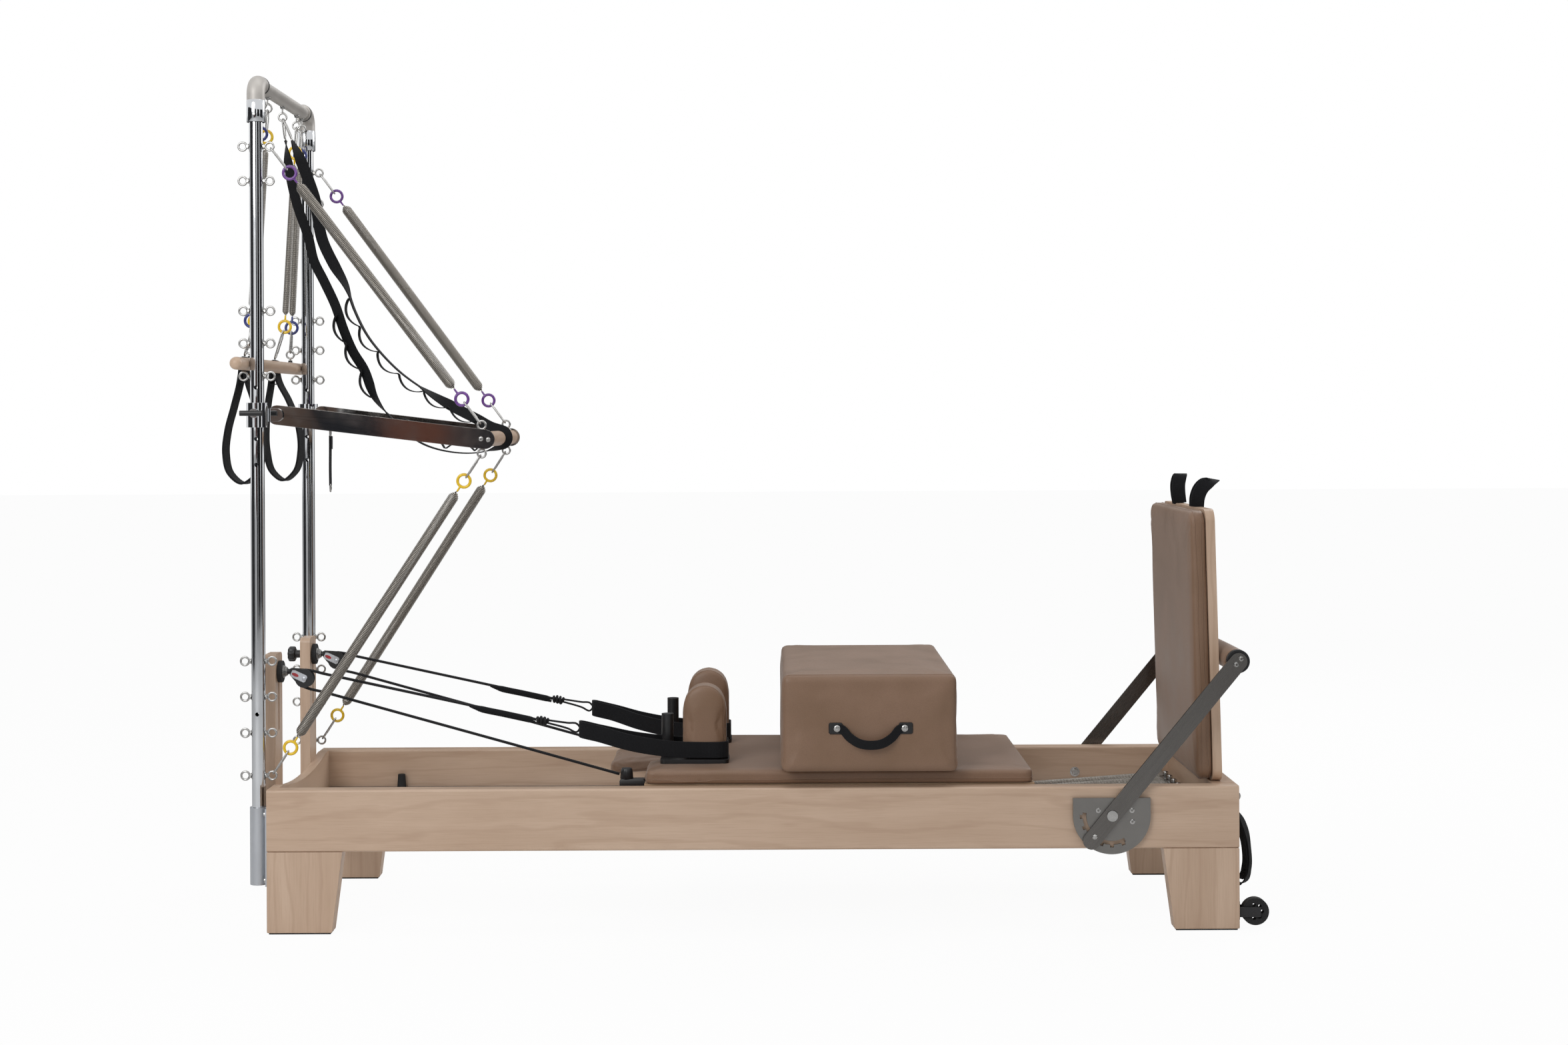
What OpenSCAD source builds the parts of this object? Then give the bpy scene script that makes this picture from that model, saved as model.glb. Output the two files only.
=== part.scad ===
// Pilates reformer with a tower, in millimetres.
// X runs from the tower at the head end to the jumpboard at the foot end, Y runs
// across the frame away from the viewer, and Z is up from the floor.

/* [Frame] */
// Length of the side rails
rail_length = 2350; // [2300:10:2400]
// Width over the side rails
frame_width = 680; // [670:5:720]
// Height of the top edge of the rails
rail_top = 349; // [345:1:365]
// Height of a side rail
rail_height = 150; // [146:1:160]
// Thickness of a side rail
rail_thick = 45; // [43:1:50]
// Rounding of the long edges of a rail
rail_round = 6; // [3:1:10]
// Thickness of the head end board
head_board_thick = 23; // [18:1:30]
// Depth of the hollow in the top of the head end board
head_board_dip = 24; // [10:1:40]
// Thickness of the foot end board
foot_board_thick = 57; // [50:1:60]
// Width of a leg where it meets the rail
leg_top_width = 183; // [170:1:200]
// Width of a leg at the floor
leg_foot_width = 157; // [140:1:165]
// Thickness of a leg
leg_thick = 47; // [44:1:50]
// Thickness of the black foot pads
foot_pad_thick = 4; // [3:0.5:6]
// Height of the top of the wheel tracks
track_top = 250; // [245:1:255]
// Width of a wheel track
track_width = 25; // [24:1:28]
// Height of a rubber stop on the track
stop_height = 35; // [25:1:45]
// Distance of the rubber stops from the middle of the frame
stop_reach = 954; // [940:1:1000]

/* [Tower] */
// Outside diameter of a tower post
post_dia = 33.7; // [32:0.1:36]
// Wall of a tower tube
tube_wall = 2.6; // [2:0.1:3.5]
// Distance of a post axis beyond the frame end
post_offset = 29; // [28:1:32]
// Distance of a post axis from the middle plane
post_side = 290; // [286:1:294]
// Height of the crossbar axis
crossbar_height = 2066; // [2050:1:2100]
// Outside diameter of the elbows and sockets
fitting_dia = 44; // [42:0.5:46]
// Radius of an elbow's bend
elbow_bend = 30; // [26:1:34]
// Length of an elbow's lower leg
elbow_drop = 96; // [80:1:110]
// Length of an elbow's side leg
elbow_reach = 52; // [48:1:54]
// Height of the lower end of a post socket
socket_low = 113; // [100:1:120]
// Length of a post socket
socket_length = 188; // [170:1:200]
// Thickness of a socket flange
flange_thick = 7; // [5:0.5:7]
// Outside diameter of an eyebolt ring
eye_dia = 24; // [22:0.5:25]
// Wire of an eyebolt ring
eye_wire = 4.5; // [4:0.1:5]
// Distance of an eyebolt ring from the post axis
eye_reach = 33; // [32:1:36]
// Diameter of the pin holes through the posts
pin_hole_dia = 10; // [8:0.5:12]

/* [Push-through bar] */
// Height of the push-through bar's pivot
push_pivot_height = 1256; // [1250:1:1262]
// Distance of the pivot from the post axis
push_pivot_reach = 43; // [40:1:46]
// Distance from the pivot to the wooden bar along the frame
push_arm_run = 508; // [490:1:530]
// Drop of the wooden bar below the pivot
push_arm_drop = 62; // [50:1:75]
// Distance of an arm's middle from the middle plane
push_arm_side = 265; // [262:1:267]
// Height of the flat steel arms
push_arm_height = 48; // [44:1:50]
// Thickness of the flat steel arms
push_arm_thick = 6; // [5:0.5:6]
// Diameter of the wooden push bar
push_bar_dia = 38; // [34:1:40]
// Height of a collar on a post
collar_height = 60; // [50:1:70]
// Diameter of a collar on a post
collar_dia = 52; // [48:1:54]

/* [Springs and clips] */
// Outside diameter of the long tower springs
push_spring_dia = 27; // [24:0.5:29]
// Outside diameter of the arm springs
arm_spring_dia = 18; // [16:0.5:20]
// Outside diameter of the carriage springs
carriage_spring_dia = 24; // [20:0.5:26]
// Wire of the long tower springs
push_wire = 3.4; // [2.5:0.1:4]
// Wire of the arm springs
arm_wire = 2.6; // [2:0.1:3]
// Wire of the carriage springs
carriage_wire = 3; // [2.5:0.1:3.5]
// Curls drawn on each long tower spring
push_curls = 10; // [6:1:11]
// Curls drawn on each arm spring
arm_curls = 6; // [4:1:7]
// Curls drawn on each carriage spring
carriage_curls = 3; // [2:1:4]
// Outside diameter of a coloured end ring
ring_dia = 38; // [36:1:40]
// Thickness of a coloured end ring
ring_wire = 6; // [5:0.5:7]
// Wire of a snap clip
clip_wire = 5; // [4:0.5:5]
// Width of a snap clip between its wires
clip_width = 20; // [18:1:24]
// Reach of a long snap clip, from eye centre to ring centre
push_clip_reach = 80; // [70:1:90]
// Reach of a short snap clip, from eye centre to ring centre
arm_clip_reach = 72; // [64:1:80]

/* [Roll-down bar and hand loops] */
// Diameter of the roll-down bar
roll_bar_dia = 31; // [28:1:34]
// Half length of the roll-down bar
roll_bar_half = 380; // [370:1:400]
// Height of the roll-down bar
roll_bar_height = 1381; // [1379:1:1384]
// Distance of the roll-down bar's springs from the middle plane
blue_spring_side = 225; // [220:1:228]
// Distance of the hand loops' springs from the middle plane
yellow_spring_side = 165; // [150:1:175]
// Width of a hand loop's strap
hand_strap_width = 35; // [30:1:40]
// Thickness of a hand loop's strap
hand_strap_thick = 6; // [4:0.5:7]

/* [Carriage] */
// Length of the carriage pad
pad_length = 952; // [930:1:960]
// Distance of the pad's head end from the middle of the frame
pad_head = 265; // [260:1:270]
// Width of the carriage pad
pad_width = 600; // [580:1:620]
// Height of the pad's underside
pad_bottom = 351; // [351:1:356]
// Thickness of the pad at its edge
pad_thick = 34; // [30:1:40]
// Extra height of a cushion's crown
crown = 3; // [1:0.5:4]
// How far a cushion's sides are drawn in
draw_in = 1.5; // [0.5:0.5:2.5]
// Edge rounding of the thin cushions
cushion_edge = 8; // [5:1:10]
// Length of the pad's ears beside the headrest
ear_length = 120; // [110:1:130]
// Half width of the headrest
headrest_half = 115; // [100:1:116]
// Length of the headrest cushion
headrest_length = 189; // [180:1:195]
// Thickness of the headrest cushion
headrest_thick = 31; // [28:1:33]
// Tilt of the headrest, head end down
headrest_tilt = 4; // [3:0.5:4.5]
// Thickness of the carriage board
board_thick = 21; // [18:1:24]
// Radius of the carriage wheels
carriage_wheel_r = 24.7; // [22:0.1:24.7]
// Length of a shoulder rest along the frame
rest_length = 103; // [95:1:110]
// Width of a shoulder rest
rest_width = 80; // [70:1:82]
// Height of a shoulder rest
rest_height = 182; // [170:1:195]
// Distance of a shoulder rest's inner face from the middle plane
rest_side = 122; // [121:1:126]

/* [Sitting box] */
// Length of the sitting box along the frame
box_length = 424; // [400:1:440]
// Width of the sitting box across the frame
box_width = 700; // [680:1:710]
// Height of the sitting box
box_height = 238; // [220:1:250]
// Distance of the box's head side from the middle of the frame
box_start = 71; // [60:1:80]
// Edge rounding of the box
box_edge = 16; // [10:1:20]

/* [Jumpboard] */
// Height of the jumpboard
jump_height = 665; // [640:1:680]
// Half width of the jumpboard
jump_half = 285; // [270:1:290]
// Thickness of the jumpboard's wooden panel
jump_panel_thick = 22; // [18:1:24]
// Thickness of the jumpboard's pad
jump_pad_thick = 39; // [34:1:44]
// Lean of the jumpboard towards the head end
jump_lean = 1.4; // [1.2:0.1:2]
// Corner radius of the jumpboard
jump_corner = 30; // [20:1:40]
// Distance of the jumpboard's outer face from the middle of the frame, at its foot
jump_face = 1146; // [1143:1:1146]

/* [Footbar] */
// Distance of the footbar's pivot from the middle of the frame
foot_pivot_x = 865.5; // [862:0.5:866]
// Depth of the footbar's pivot below the rail top
foot_pivot_drop = 68; // [66:1:70]
// Length of the arms from the pivot to the bar
foot_arm_length = 480; // [478:1:500]
// Angle of the arms above the horizontal
foot_arm_angle = 50.4; // [50:0.1:50.6]
// Width of the flat steel arms
foot_arm_width = 42; // [38:1:44]
// Thickness of the flat steel arms
foot_arm_thick = 6; // [5:0.5:7]
// Diameter of the padded bar
foot_bar_dia = 57; // [50:1:58]
// Thickness of a gear plate
gear_thick = 6; // [5:0.5:7]
// Radius of the gear plate's round edge
gear_radius = 93.7; // [92:0.5:96]
// Travel of the locking pin out of a notch
lock_travel = 6; // [5.5:0.1:6]

/* [Pulleys] */
// Distance of the pulleys from the middle plane
pulley_side = 200; // [196:1:204]
// Width of a pulley riser
riser_width = 76; // [70:1:84]
// Thickness of a pulley riser
riser_thick = 26; // [22:1:26]
// Height of the top of a pulley riser
riser_top = 666; // [655:1:680]
// Height of the pulley's clamp
clamp_height = 620; // [615:1:624]

/* [Transport wheels] */
// Diameter of a transport wheel
roller_dia = 66; // [60:1:68]
// Height of a transport wheel's axle
roller_height = 41; // [40:1:46]
// Distance of the transport wheels from the middle plane
roller_side = 312; // [310:1:314]

/* [Hidden] */
$fn = 32;

wood = "#d8bd9e";
tan = "#9a7660";
steel = "#b9bcc0";
dark = "#1c1c1e";
grey = "#85878b";
purple = "#6b3d86";
yellow = "#e0b21c";
blue = "#26306e";

clear = 0.3;
run_clear = 0.05;

half_length = rail_length / 2;
half_width = frame_width / 2;
rail_inside = half_width - rail_thick;
rail_bottom = rail_top - rail_height;
post_x = -half_length - post_offset;
post_r = post_dia / 2;
fitting_r = fitting_dia / 2;
sides = [-1, 1];
spring_rings = 8;
spring_faces = 6;

// Levels of the eyebolts and pin holes on the posts
eye_levels = [377, 481, 569, 656, 1351, 1431, 1510, 1827, 1911];
pin_levels = [528, 1135, 1197.6, 1260.5, 1323];
pinned_level = pin_levels[3];
eye_r = (eye_dia - eye_wire) / 2;
ring_r = (ring_dia - ring_wire) / 2;
eye_drop = 44;
nut_height = 4;
crossbar_eyes = [
    -blue_spring_side, -yellow_spring_side, 0, yellow_spring_side, blue_spring_side
];

// Push-through bar
push_x = post_x + push_pivot_reach;
push_bar_x = push_x + push_arm_run;
push_bar_z = push_pivot_height - push_arm_drop;
push_angle = atan2(push_arm_drop, push_arm_run);
push_arm_length = norm([push_arm_run, push_arm_drop]);
push_pin_r = 5;
push_eye_side = push_arm_side - 18;
push_eye_reach = push_bar_dia / 2 + eye_dia / 2 + 4;
push_eye_up = push_bar_z + push_eye_reach;
push_eye_down = push_bar_z - push_eye_reach;
collar_z = push_pivot_height;
collar_boss = 14;
lock_pin_r = 4.5;

// Roll-down bar
roll_bar_r = roll_bar_dia / 2;
roll_bar_x = post_x - post_r - 0.4 - roll_bar_r;
roll_eye_z = roll_bar_height + roll_bar_r + nut_height + eye_dia / 2 + 5;
crossbar_eye_z = crossbar_height - eye_drop;
hand_ring = [roll_bar_x - 1, 1490];

// Footbar
foot_pivot_z = rail_top - foot_pivot_drop;
foot_bar_r = foot_bar_dia / 2;
gear_inside = half_width + 5;
gear_outside = gear_inside + gear_thick;
foot_arm_inside = gear_outside + 1;
foot_arm_outside = foot_arm_inside + foot_arm_thick;
foot_pin_r = 8;
lock_r = 66;
lock_stud_r = 4.2;
gear_channel = 4.7;
gear_notches = [-177.7, -156, 180 + foot_arm_angle, -110, -90, -68];
gear_half = 93.5;
gear_rise = 42;

// Carriage
pad_x0 = -pad_head;
pad_x1 = pad_x0 + pad_length;
pad_top = pad_bottom + pad_thick + crown;
board_top = pad_bottom;
board_bottom = board_top - board_thick;
board_half = rail_inside - 8;
beam_side = 240;
beam_thick = 25;
axle_z = track_top + clear + carriage_wheel_r;
beam_bottom = axle_z - 13;
wheel_x = [pad_x0 + 65, pad_x1 - 67];
hinge_x = -167;
hinge_z = board_top + 5.5;
hinge_pin_r = 3;
hinge_barrel_r = 5.2;
hinge_half = 48;
leaf_thick = 2;
base_z = pad_top + 0.2;
base_thick = 10;
rest_z = base_z + base_thick + clear;
rest_x = -172;
shoulder_post_x = -214;
shoulder_post_side = 150;
shoulder_post_top = 505;

// Spring bar
spring_bar_x = 1066;
spring_bar_size = 28;
spring_axis_z = 298;
spring_spacing = 60;
spring_anchor_x = pad_x1 - 17;

// Jumpboard
jump_foot_z = rail_top + 1;
jump_angle = -jump_lean;

// Pulleys
sheave_x = -1110;
sheave_z = 603;
sheave_r = 22;
sheave_groove_r = 16;
sheave_thick = 12;
sheave_pin_r = 3;
cheek_thick = 3;
stud_r = 4;
disc_thick = 11;
slot_width = 12;

// Routes of the cords and straps, as points along their middle
rope_route = [
    [-331.3, 362], [-600, 438], [-870, 514], [-1115.5, 583.2], [-1124.5, 588.4], [-1130, 597.7],
    [-1130, 608.3], [-1124.5, 617.6], [-1115.5, 623], [-1105.7, 623.1], [-900, 578], [-700, 534],
    [-537.3, 498.1]
];
rope_tail_route = [[-690, 524.3], [-620, 508.9], [-552, 494]];
rope_r = 3.5;
knot = [-522, 495];
knot_r = 15;
foot_loop_start = [-432.4, 195, 474];
strap_route = [
    [-1179, 1962], [-1152, 1896], [-1124, 1818], [-1101, 1700], [-1073, 1641], [-1044, 1590],
    [-1022, 1527], [-988, 1459], [-948, 1408], [-908, 1368], [-840, 1318], [-768, 1275],
    [-705, 1242], [-668, 1222], [-652, 1217], [-637, 1211], [-630, 1194], [-637, 1178],
    [-652, 1171], [-700, 1158], [-773, 1159], [-848, 1181], [-914, 1234], [-969, 1299],
    [-999, 1375], [-1024, 1415], [-1050, 1476], [-1070, 1536], [-1100, 1601], [-1125, 1652],
    [-1138, 1709], [-1170, 1805], [-1189, 1896], [-1197, 1962]
];
foot_loop_route = [
    [-430, 199, 474], [-380, 208, 462], [-300, 212, 440], [-200, 207, 424], [-120, 205, 421],
    [-80, 204, 421], [-66, 194, 421], [-65, 162, 421], [-66, 130, 421], [-80, 120, 421],
    [-120, 119, 421], [-200, 120, 424], [-300, 150, 440], [-380, 182, 462], [-430, 191, 474]
];
near_hand_route = [
    [-1265, 1400], [-1269, 1396], [-1270, 1380], [-1275, 1340], [-1290, 1280], [-1307, 1215],
    [-1312, 1160], [-1300, 1110], [-1268, 1086], [-1237, 1105], [-1222, 1160], [-1226, 1230],
    [-1242, 1295], [-1257, 1345], [-1260.5, 1380], [-1261, 1396]
];
far_hand_route = [
    [-1265, 1400], [-1269, 1396], [-1270, 1380], [-1274, 1340], [-1282, 1290], [-1288, 1230],
    [-1286, 1160], [-1270, 1105], [-1240, 1084], [-1212, 1105], [-1197, 1160], [-1202, 1225],
    [-1228, 1295], [-1255, 1350], [-1260.5, 1380], [-1261, 1396]
];
hanging_outer = [
    [1188, 247], [1186, 220], [1182, 170], [1183, 120], [1192, 90], [1205, 84], [1218, 90],
    [1227, 120], [1226, 170], [1218, 220], [1205, 247], [1196, 256]
];
hanging_inner = [
    [1193, 240], [1192, 215], [1188, 170], [1190, 125], [1197, 103], [1205, 98], [1212, 103],
    [1219, 125], [1219, 170], [1209, 215], [1200, 240], [1196, 251.8]
];
handle_route = [
    [-81.5, 5, 0], [-70, 6, -14], [-46, 16, -36], [0, 22, -48], [46, 16, -36], [70, 6, -14],
    [81.5, 5, 0]
];
near_loop_route = [
    [0, -9, 0.3], [0, -9, 8], [3, -13, 25], [14, -14, 48], [32, -9, 62], [44, 0, 66],
    [32, 9, 62], [14, 14, 48], [3, 13, 25], [0, 9, 8], [0, 9, 0.3]
];
far_loop_route = [
    [0, -9, 0.3], [0, -9, 8], [-3, -13, 25], [-3, -14, 50], [2, -9, 70], [5, 0, 76],
    [2, 9, 70], [-3, 14, 50], [-3, 13, 25], [0, 9, 8], [0, 9, 0.3]
];

function unit(v) = v / norm(v);

// Direction of a route at point i
function heading(path, i, closed) =
    let (n = len(path))
    closed ? unit(path[(i + 1) % n] - path[(i + n - 1) % n])
        : unit(path[min(i + 1, n - 1)] - path[max(i - 1, 0)]);

// Points of a section carried along a route, turned to keep its second axis near the guide
function swept_points(path, guides, section, closed) = [
    for (i = [0:len(path) - 1])
        let (
            t = heading(path, i, closed),
            side = unit(cross(t, guides[i])),
            up = cross(side, t)
        )
        for (s = section) path[i] + side * s[0] + up * s[1]
];

function ring_faces(rings, n, closed) = [
    for (i = [0:rings - (closed ? 1 : 2)])
        for (k = [0:n - 1])
            let (
                a = i * n + k,
                b = i * n + (k + 1) % n,
                c = ((i + 1) % rings) * n + (k + 1) % n,
                d = ((i + 1) % rings) * n + k
            )
            each [[a, b, c], [a, c, d]]
];

function cap_faces(first, n, flip) = [
    for (k = [1:n - 2])
        flip ? [first, first + k + 1, first + k] : [first, first + k, first + k + 1]
];

function circle_section(r, n) = [for (k = [0:n - 1]) r * [cos(360 * k / n), sin(360 * k / n)]];

function band_section(thick, width) = [
    [thick, width] / 2, [-thick, width] / 2, [-thick, -width] / 2, [thick, -width] / 2
];

module sweep(path, guides, section, closed = false) {
    n = len(section);
    rings = len(path);
    walls = ring_faces(rings, n, closed);
    ends = closed ? [] : concat(cap_faces(0, n, true), cap_faces((rings - 1) * n, n, false));
    polyhedron(points = swept_points(path, guides, section, closed), faces = concat(walls, ends));
}

// A tube or band whose section keeps one axis near a fixed direction
module run(path, guide, section, closed = false) {
    sweep(path, [for (p = path) guide], section, closed);
}

function in_plane(route, y) = [for (p = route) [p[0], y, p[1]]];

module at(point, direction) {
    d = unit(direction);
    translate(point) rotate([0, acos(d[2]), atan2(d[1], d[0])]) children();
}

module rod(a, b, r) {
    at(a, b - a) cylinder(h = norm(b - a), r = r);
}

module ring(r, wire) {
    rotate_extrude() translate([r, 0]) circle(d = wire);
}

// A ring standing in the XZ plane
module upright_ring(point, r, wire) {
    translate(point) rotate([90, 0, 0]) ring(r, wire);
}

module rounded(w, h, r) {
    square([w - 2 * r, h], center = true);
    square([w, h - 2 * r], center = true);
    for (x = sides, y = sides) translate([x * (w / 2 - r), y * (h / 2 - r)]) circle(r);
}

// Profiles drawn in YZ and run along X, or drawn in XZ and run along Y
module along_x(length) {
    rotate([90, 0, 90]) linear_extrude(length) children();
}

module along_y(y0, y1) {
    translate([0, y1, 0]) rotate([90, 0, 0]) linear_extrude(y1 - y0) children();
}

// Long wire link along Z, its wires on both sides of the YZ plane's middle
module wire_link(length) {
    r = clip_width / 2;
    rotate([0, -90, 0]) {
        translate([r, 0, 0]) rotate([0, 0, 90]) rotate_extrude(angle = 180)
            translate([r, 0]) circle(d = clip_wire);
        translate([length - r, 0, 0]) rotate([0, 0, -90]) rotate_extrude(angle = 180)
            translate([r, 0]) circle(d = clip_wire);
        for (y = sides)
            translate([r, y * r, 0]) rotate([0, 90, 0])
                cylinder(h = length - 2 * r, d = clip_wire);
    }
}

// How far from a ring's centre a clip that hooks it begins
function hook_start(r, wire) = r - (wire + clip_wire) / 2 - clear;

// Snap clip from one ring to another, hooked through both
module clip(a, b, r_a, wire_a, r_b, wire_b) {
    start = hook_start(r_a, wire_a);
    stop = norm(b - a) - hook_start(r_b, wire_b);
    at(a + unit(b - a) * start, b - a) wire_link(stop - start);
}

// Snap clip from a ring to a tip that it just clears
module clip_to(a, tip, r_a, wire_a) {
    start = hook_start(r_a, wire_a);
    stop = norm(tip - a) - clip_wire / 2 - clear;
    at(a + unit(tip - a) * start, tip - a) wire_link(stop - start);
}

// Eyebolt whose nut sits on a surface at the start point
module eyebolt(start, centre) {
    d = unit(centre - start);
    rod(start, centre - d * eye_r, 2.6);
    rod(start, start + d * nut_height, 6);
    upright_ring(centre, eye_r, eye_wire);
}

// Middle line of a spring along Z: straight ends, then curls that widen to full size
function spring_turn(t, curls) = min(1, 0.25 + t * curls * 0.7, 0.25 + (1 - t) * curls * 0.7);

function spring_path(length, r, wire, curls) =
    let (steps = curls * spring_rings, lead = wire * 2)
    concat(
        [[0, 0, 0], [0, 0, wire]],
        [
            for (i = [0:steps])
                let (t = i / steps, a = 360 * i / spring_rings, s = r * spring_turn(t, curls))
                [s * cos(a), s * sin(a), lead + (length - 2 * lead) * t]
        ],
        [[0, 0, length - wire], [0, 0, length]]
    );

function spring_guides(curls) =
    let (steps = curls * spring_rings)
    concat(
        [[1, 0, 0], [1, 0, 0]],
        [for (i = [0:steps]) let (a = 360 * i / spring_rings) [cos(a), sin(a), 0]],
        [[1, 0, 0], [1, 0, 0]]
    );

function least_gap(path, wire) =
    min([
        for (i = [0:len(path) - 1], j = [i + 4:1:len(path) - 1])
            norm(path[i] - path[j])
    ]) - wire;

module spring(a, b, dia, wire, curls) {
    path = spring_path(norm(b - a), (dia - wire) / 2, wire, curls);
    echo(spring_least_gap = least_gap(path, wire));
    at(a, b - a) sweep(path, spring_guides(curls), circle_section(wire / 2, spring_faces));
}

// Spring between two coloured rings, touching the outside of each
module ringed_spring(ring_a, ring_b, dia, wire, curls) {
    d = unit(ring_b - ring_a);
    off = ring_r + ring_wire / 2 + 0.05;
    spring(ring_a + d * off, ring_b - d * off, dia, wire, curls);
    for (p = [ring_a, ring_b]) upright_ring(p, ring_r, ring_wire);
}

// Cushion on an outline: each step is [height, inset], closed by a flat face at both ends
module cushion(outline, half, steps) {
    n = len(outline);
    pts = [
        for (s = steps, p = outline)
            [p[0] * (half[0] - s[1]) / half[0], p[1] * (half[1] - s[1]) / half[1], s[0]]
    ];
    walls = [for (f = ring_faces(len(steps), n, false)) [f[0], f[2], f[1]]];
    ends = concat(cap_faces(0, n, false), cap_faces((len(steps) - 1) * n, n, true));
    polyhedron(points = pts, faces = [for (f = concat(walls, ends)) [f[0], f[2], f[1]]]);
}

function rounded_outline(w, h, r, per_corner = 4) = [
    for (c = [0:3], k = [0:per_corner - 1])
        let (
            a = 90 * (c + k / (per_corner - 1)),
            x = (c == 0 || c == 3 ? 1 : -1) * (w / 2 - r),
            y = (c < 2 ? 1 : -1) * (h / 2 - r)
        )
        [x + r * cos(a), y + r * sin(a)]
];

function cushion_steps(thick, edge, half) = [
    [0, edge * 0.8], [edge * 0.35, edge * 0.15], [edge, 0], [thick / 2, draw_in],
    [thick - edge, 0], [thick - edge * 0.35, edge * 0.15], [thick, edge * 0.9],
    [thick + crown * 0.7, half * 0.4], [thick + crown, half * 0.8]
];

module block_cushion(w, h, thick, edge, corner) {
    cushion(rounded_outline(w, h, corner), [w / 2, h / 2],
        cushion_steps(thick, edge, min(w, h) / 2));
}

// Frame
module side_rails() {
    color(wood)
        for (s = sides)
            translate([-half_length, s * (half_width - rail_thick / 2), rail_top - rail_height / 2])
                along_x(rail_length) rounded(rail_thick, rail_height, rail_round);
}

module tracks() {
    color(steel)
        for (s = sides) {
            inner = rail_inside - track_width;
            y0 = s > 0 ? inner : -rail_inside;
            translate([-half_length + head_board_thick + clear, y0, track_top - 12])
                cube([
                    rail_length - head_board_thick - foot_board_thick - 2 * clear,
                    track_width, 12
                ]);
        }
}

module leg_profile() {
    polygon([
        [0, 0], [leg_foot_width, 0], [leg_top_width, rail_bottom - foot_pad_thick],
        [0, rail_bottom - foot_pad_thick]
    ]);
}

module each_leg() {
    for (x = sides, y = sides)
        mirror([x > 0 ? 1 : 0, 0, 0]) mirror([0, y > 0 ? 1 : 0, 0]) children();
}

module legs() {
    color(wood)
        each_leg()
            translate([-half_length, 0, foot_pad_thick])
                along_y(-half_width, -half_width + leg_thick) leg_profile();
}

module foot_pads() {
    inset = 4;
    color(dark)
        each_leg()
            translate([-half_length + inset, -half_width + inset, 0])
                cube([leg_foot_width - 2 * inset, leg_thick - 2 * inset, foot_pad_thick]);
}

module end_boards() {
    dip_half = rail_inside - 40;
    dip_r = (dip_half * dip_half + head_board_dip * head_board_dip) / (2 * head_board_dip);
    color(wood) {
        difference() {
            translate([-half_length, -rail_inside, rail_bottom])
                cube([head_board_thick, 2 * rail_inside, rail_height]);
            translate([-half_length - 1, 0, rail_top - head_board_dip + dip_r]) rotate([0, 90, 0])
                cylinder(h = head_board_thick + 2, r = dip_r, $fn = 96);
        }
        difference() {
            translate([half_length - foot_board_thick, -rail_inside, rail_bottom])
                cube([foot_board_thick, 2 * rail_inside, rail_height]);
            jump_pegs(6 + clear, 42);
        }
    }
}

module post_sockets() {
    flange_half = 35;
    web_half = 12;
    floor_thick = 6;
    color(steel)
        for (s = sides)
            translate([0, s * post_side, 0])
                difference() {
                    union() {
                        translate([post_x, 0, socket_low])
                            cylinder(h = socket_length, r = fitting_r);
                        translate([post_x, -web_half, socket_low])
                            cube([post_offset, 2 * web_half, socket_length]);
                        translate([-half_length - flange_thick, -flange_half, socket_low])
                            cube([flange_thick, 2 * flange_half, socket_length]);
                    }
                    translate([post_x, 0, socket_low + floor_thick])
                        cylinder(h = socket_length, r = post_r + run_clear);
                    for (y = sides, z = [14, socket_length - 14])
                        translate([-half_length - flange_thick - 1, y * 26, socket_low + z])
                            rotate([0, 90, 0]) cylinder(h = flange_thick + 2, r = 3.2);
                }
}

// Bolts through the socket flanges, and the set screws in the elbows
module frame_screws() {
    color(steel)
        for (s = sides) {
            for (y = sides, z = [14, socket_length - 14]) {
                p = [-half_length - flange_thick, s * post_side + y * 26, socket_low + z];
                rod(p - [4, 0, 0], p, 6);
                rod(p - [1, 0, 0], p + [flange_thick, 0, 0], 3.1);
            }
            for (z = [18, 44]) {
                p = [post_x, s * post_side, crossbar_height - elbow_drop + z];
                rod(p + [0, s * (post_r + 0.4), 0], p + [0, s * (fitting_r + 1), 0], 3);
            }
        }
}

module posts() {
    foot = socket_low + 6;
    top = crossbar_height - elbow_bend - 6;
    color(steel)
        for (s = sides)
            translate([post_x, s * post_side, 0])
                difference() {
                    translate([0, 0, foot]) cylinder(h = top - foot, r = post_r);
                    translate([0, 0, foot - 1])
                        cylinder(h = top - foot + 2, r = post_r - tube_wall);
                    for (z = pin_levels)
                        translate([0, -post_dia, z]) rotate([-90, 0, 0])
                            cylinder(h = 2 * post_dia, d = pin_hole_dia);
                }
}

module elbows() {
    color(steel)
        for (s = sides)
            translate([post_x, s * post_side, crossbar_height])
                mirror([0, s > 0 ? 0 : 1, 0])
                    difference() {
                        union() {
                            translate([0, 0, -elbow_drop])
                                cylinder(h = elbow_drop - elbow_bend, r = fitting_r);
                            translate([0, -elbow_bend, -elbow_bend]) rotate([0, -90, 0])
                                rotate_extrude(angle = 90) translate([elbow_bend, 0])
                                    circle(fitting_r);
                            translate([0, -elbow_reach, 0]) rotate([-90, 0, 0])
                                cylinder(h = elbow_reach - elbow_bend, r = fitting_r);
                        }
                        translate([0, 0, -elbow_drop - 1])
                            cylinder(h = elbow_drop - elbow_bend - 5, r = post_r + run_clear);
                        translate([0, -elbow_reach - 1, 0]) rotate([-90, 0, 0])
                            cylinder(h = elbow_reach - elbow_bend - 3, r = post_r + run_clear);
                        for (z = [18, 44])
                            translate([0, 0, z - elbow_drop]) rotate([-90, 0, 0])
                                cylinder(h = fitting_r + 2, r = 3.05);
                    }
}

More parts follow.
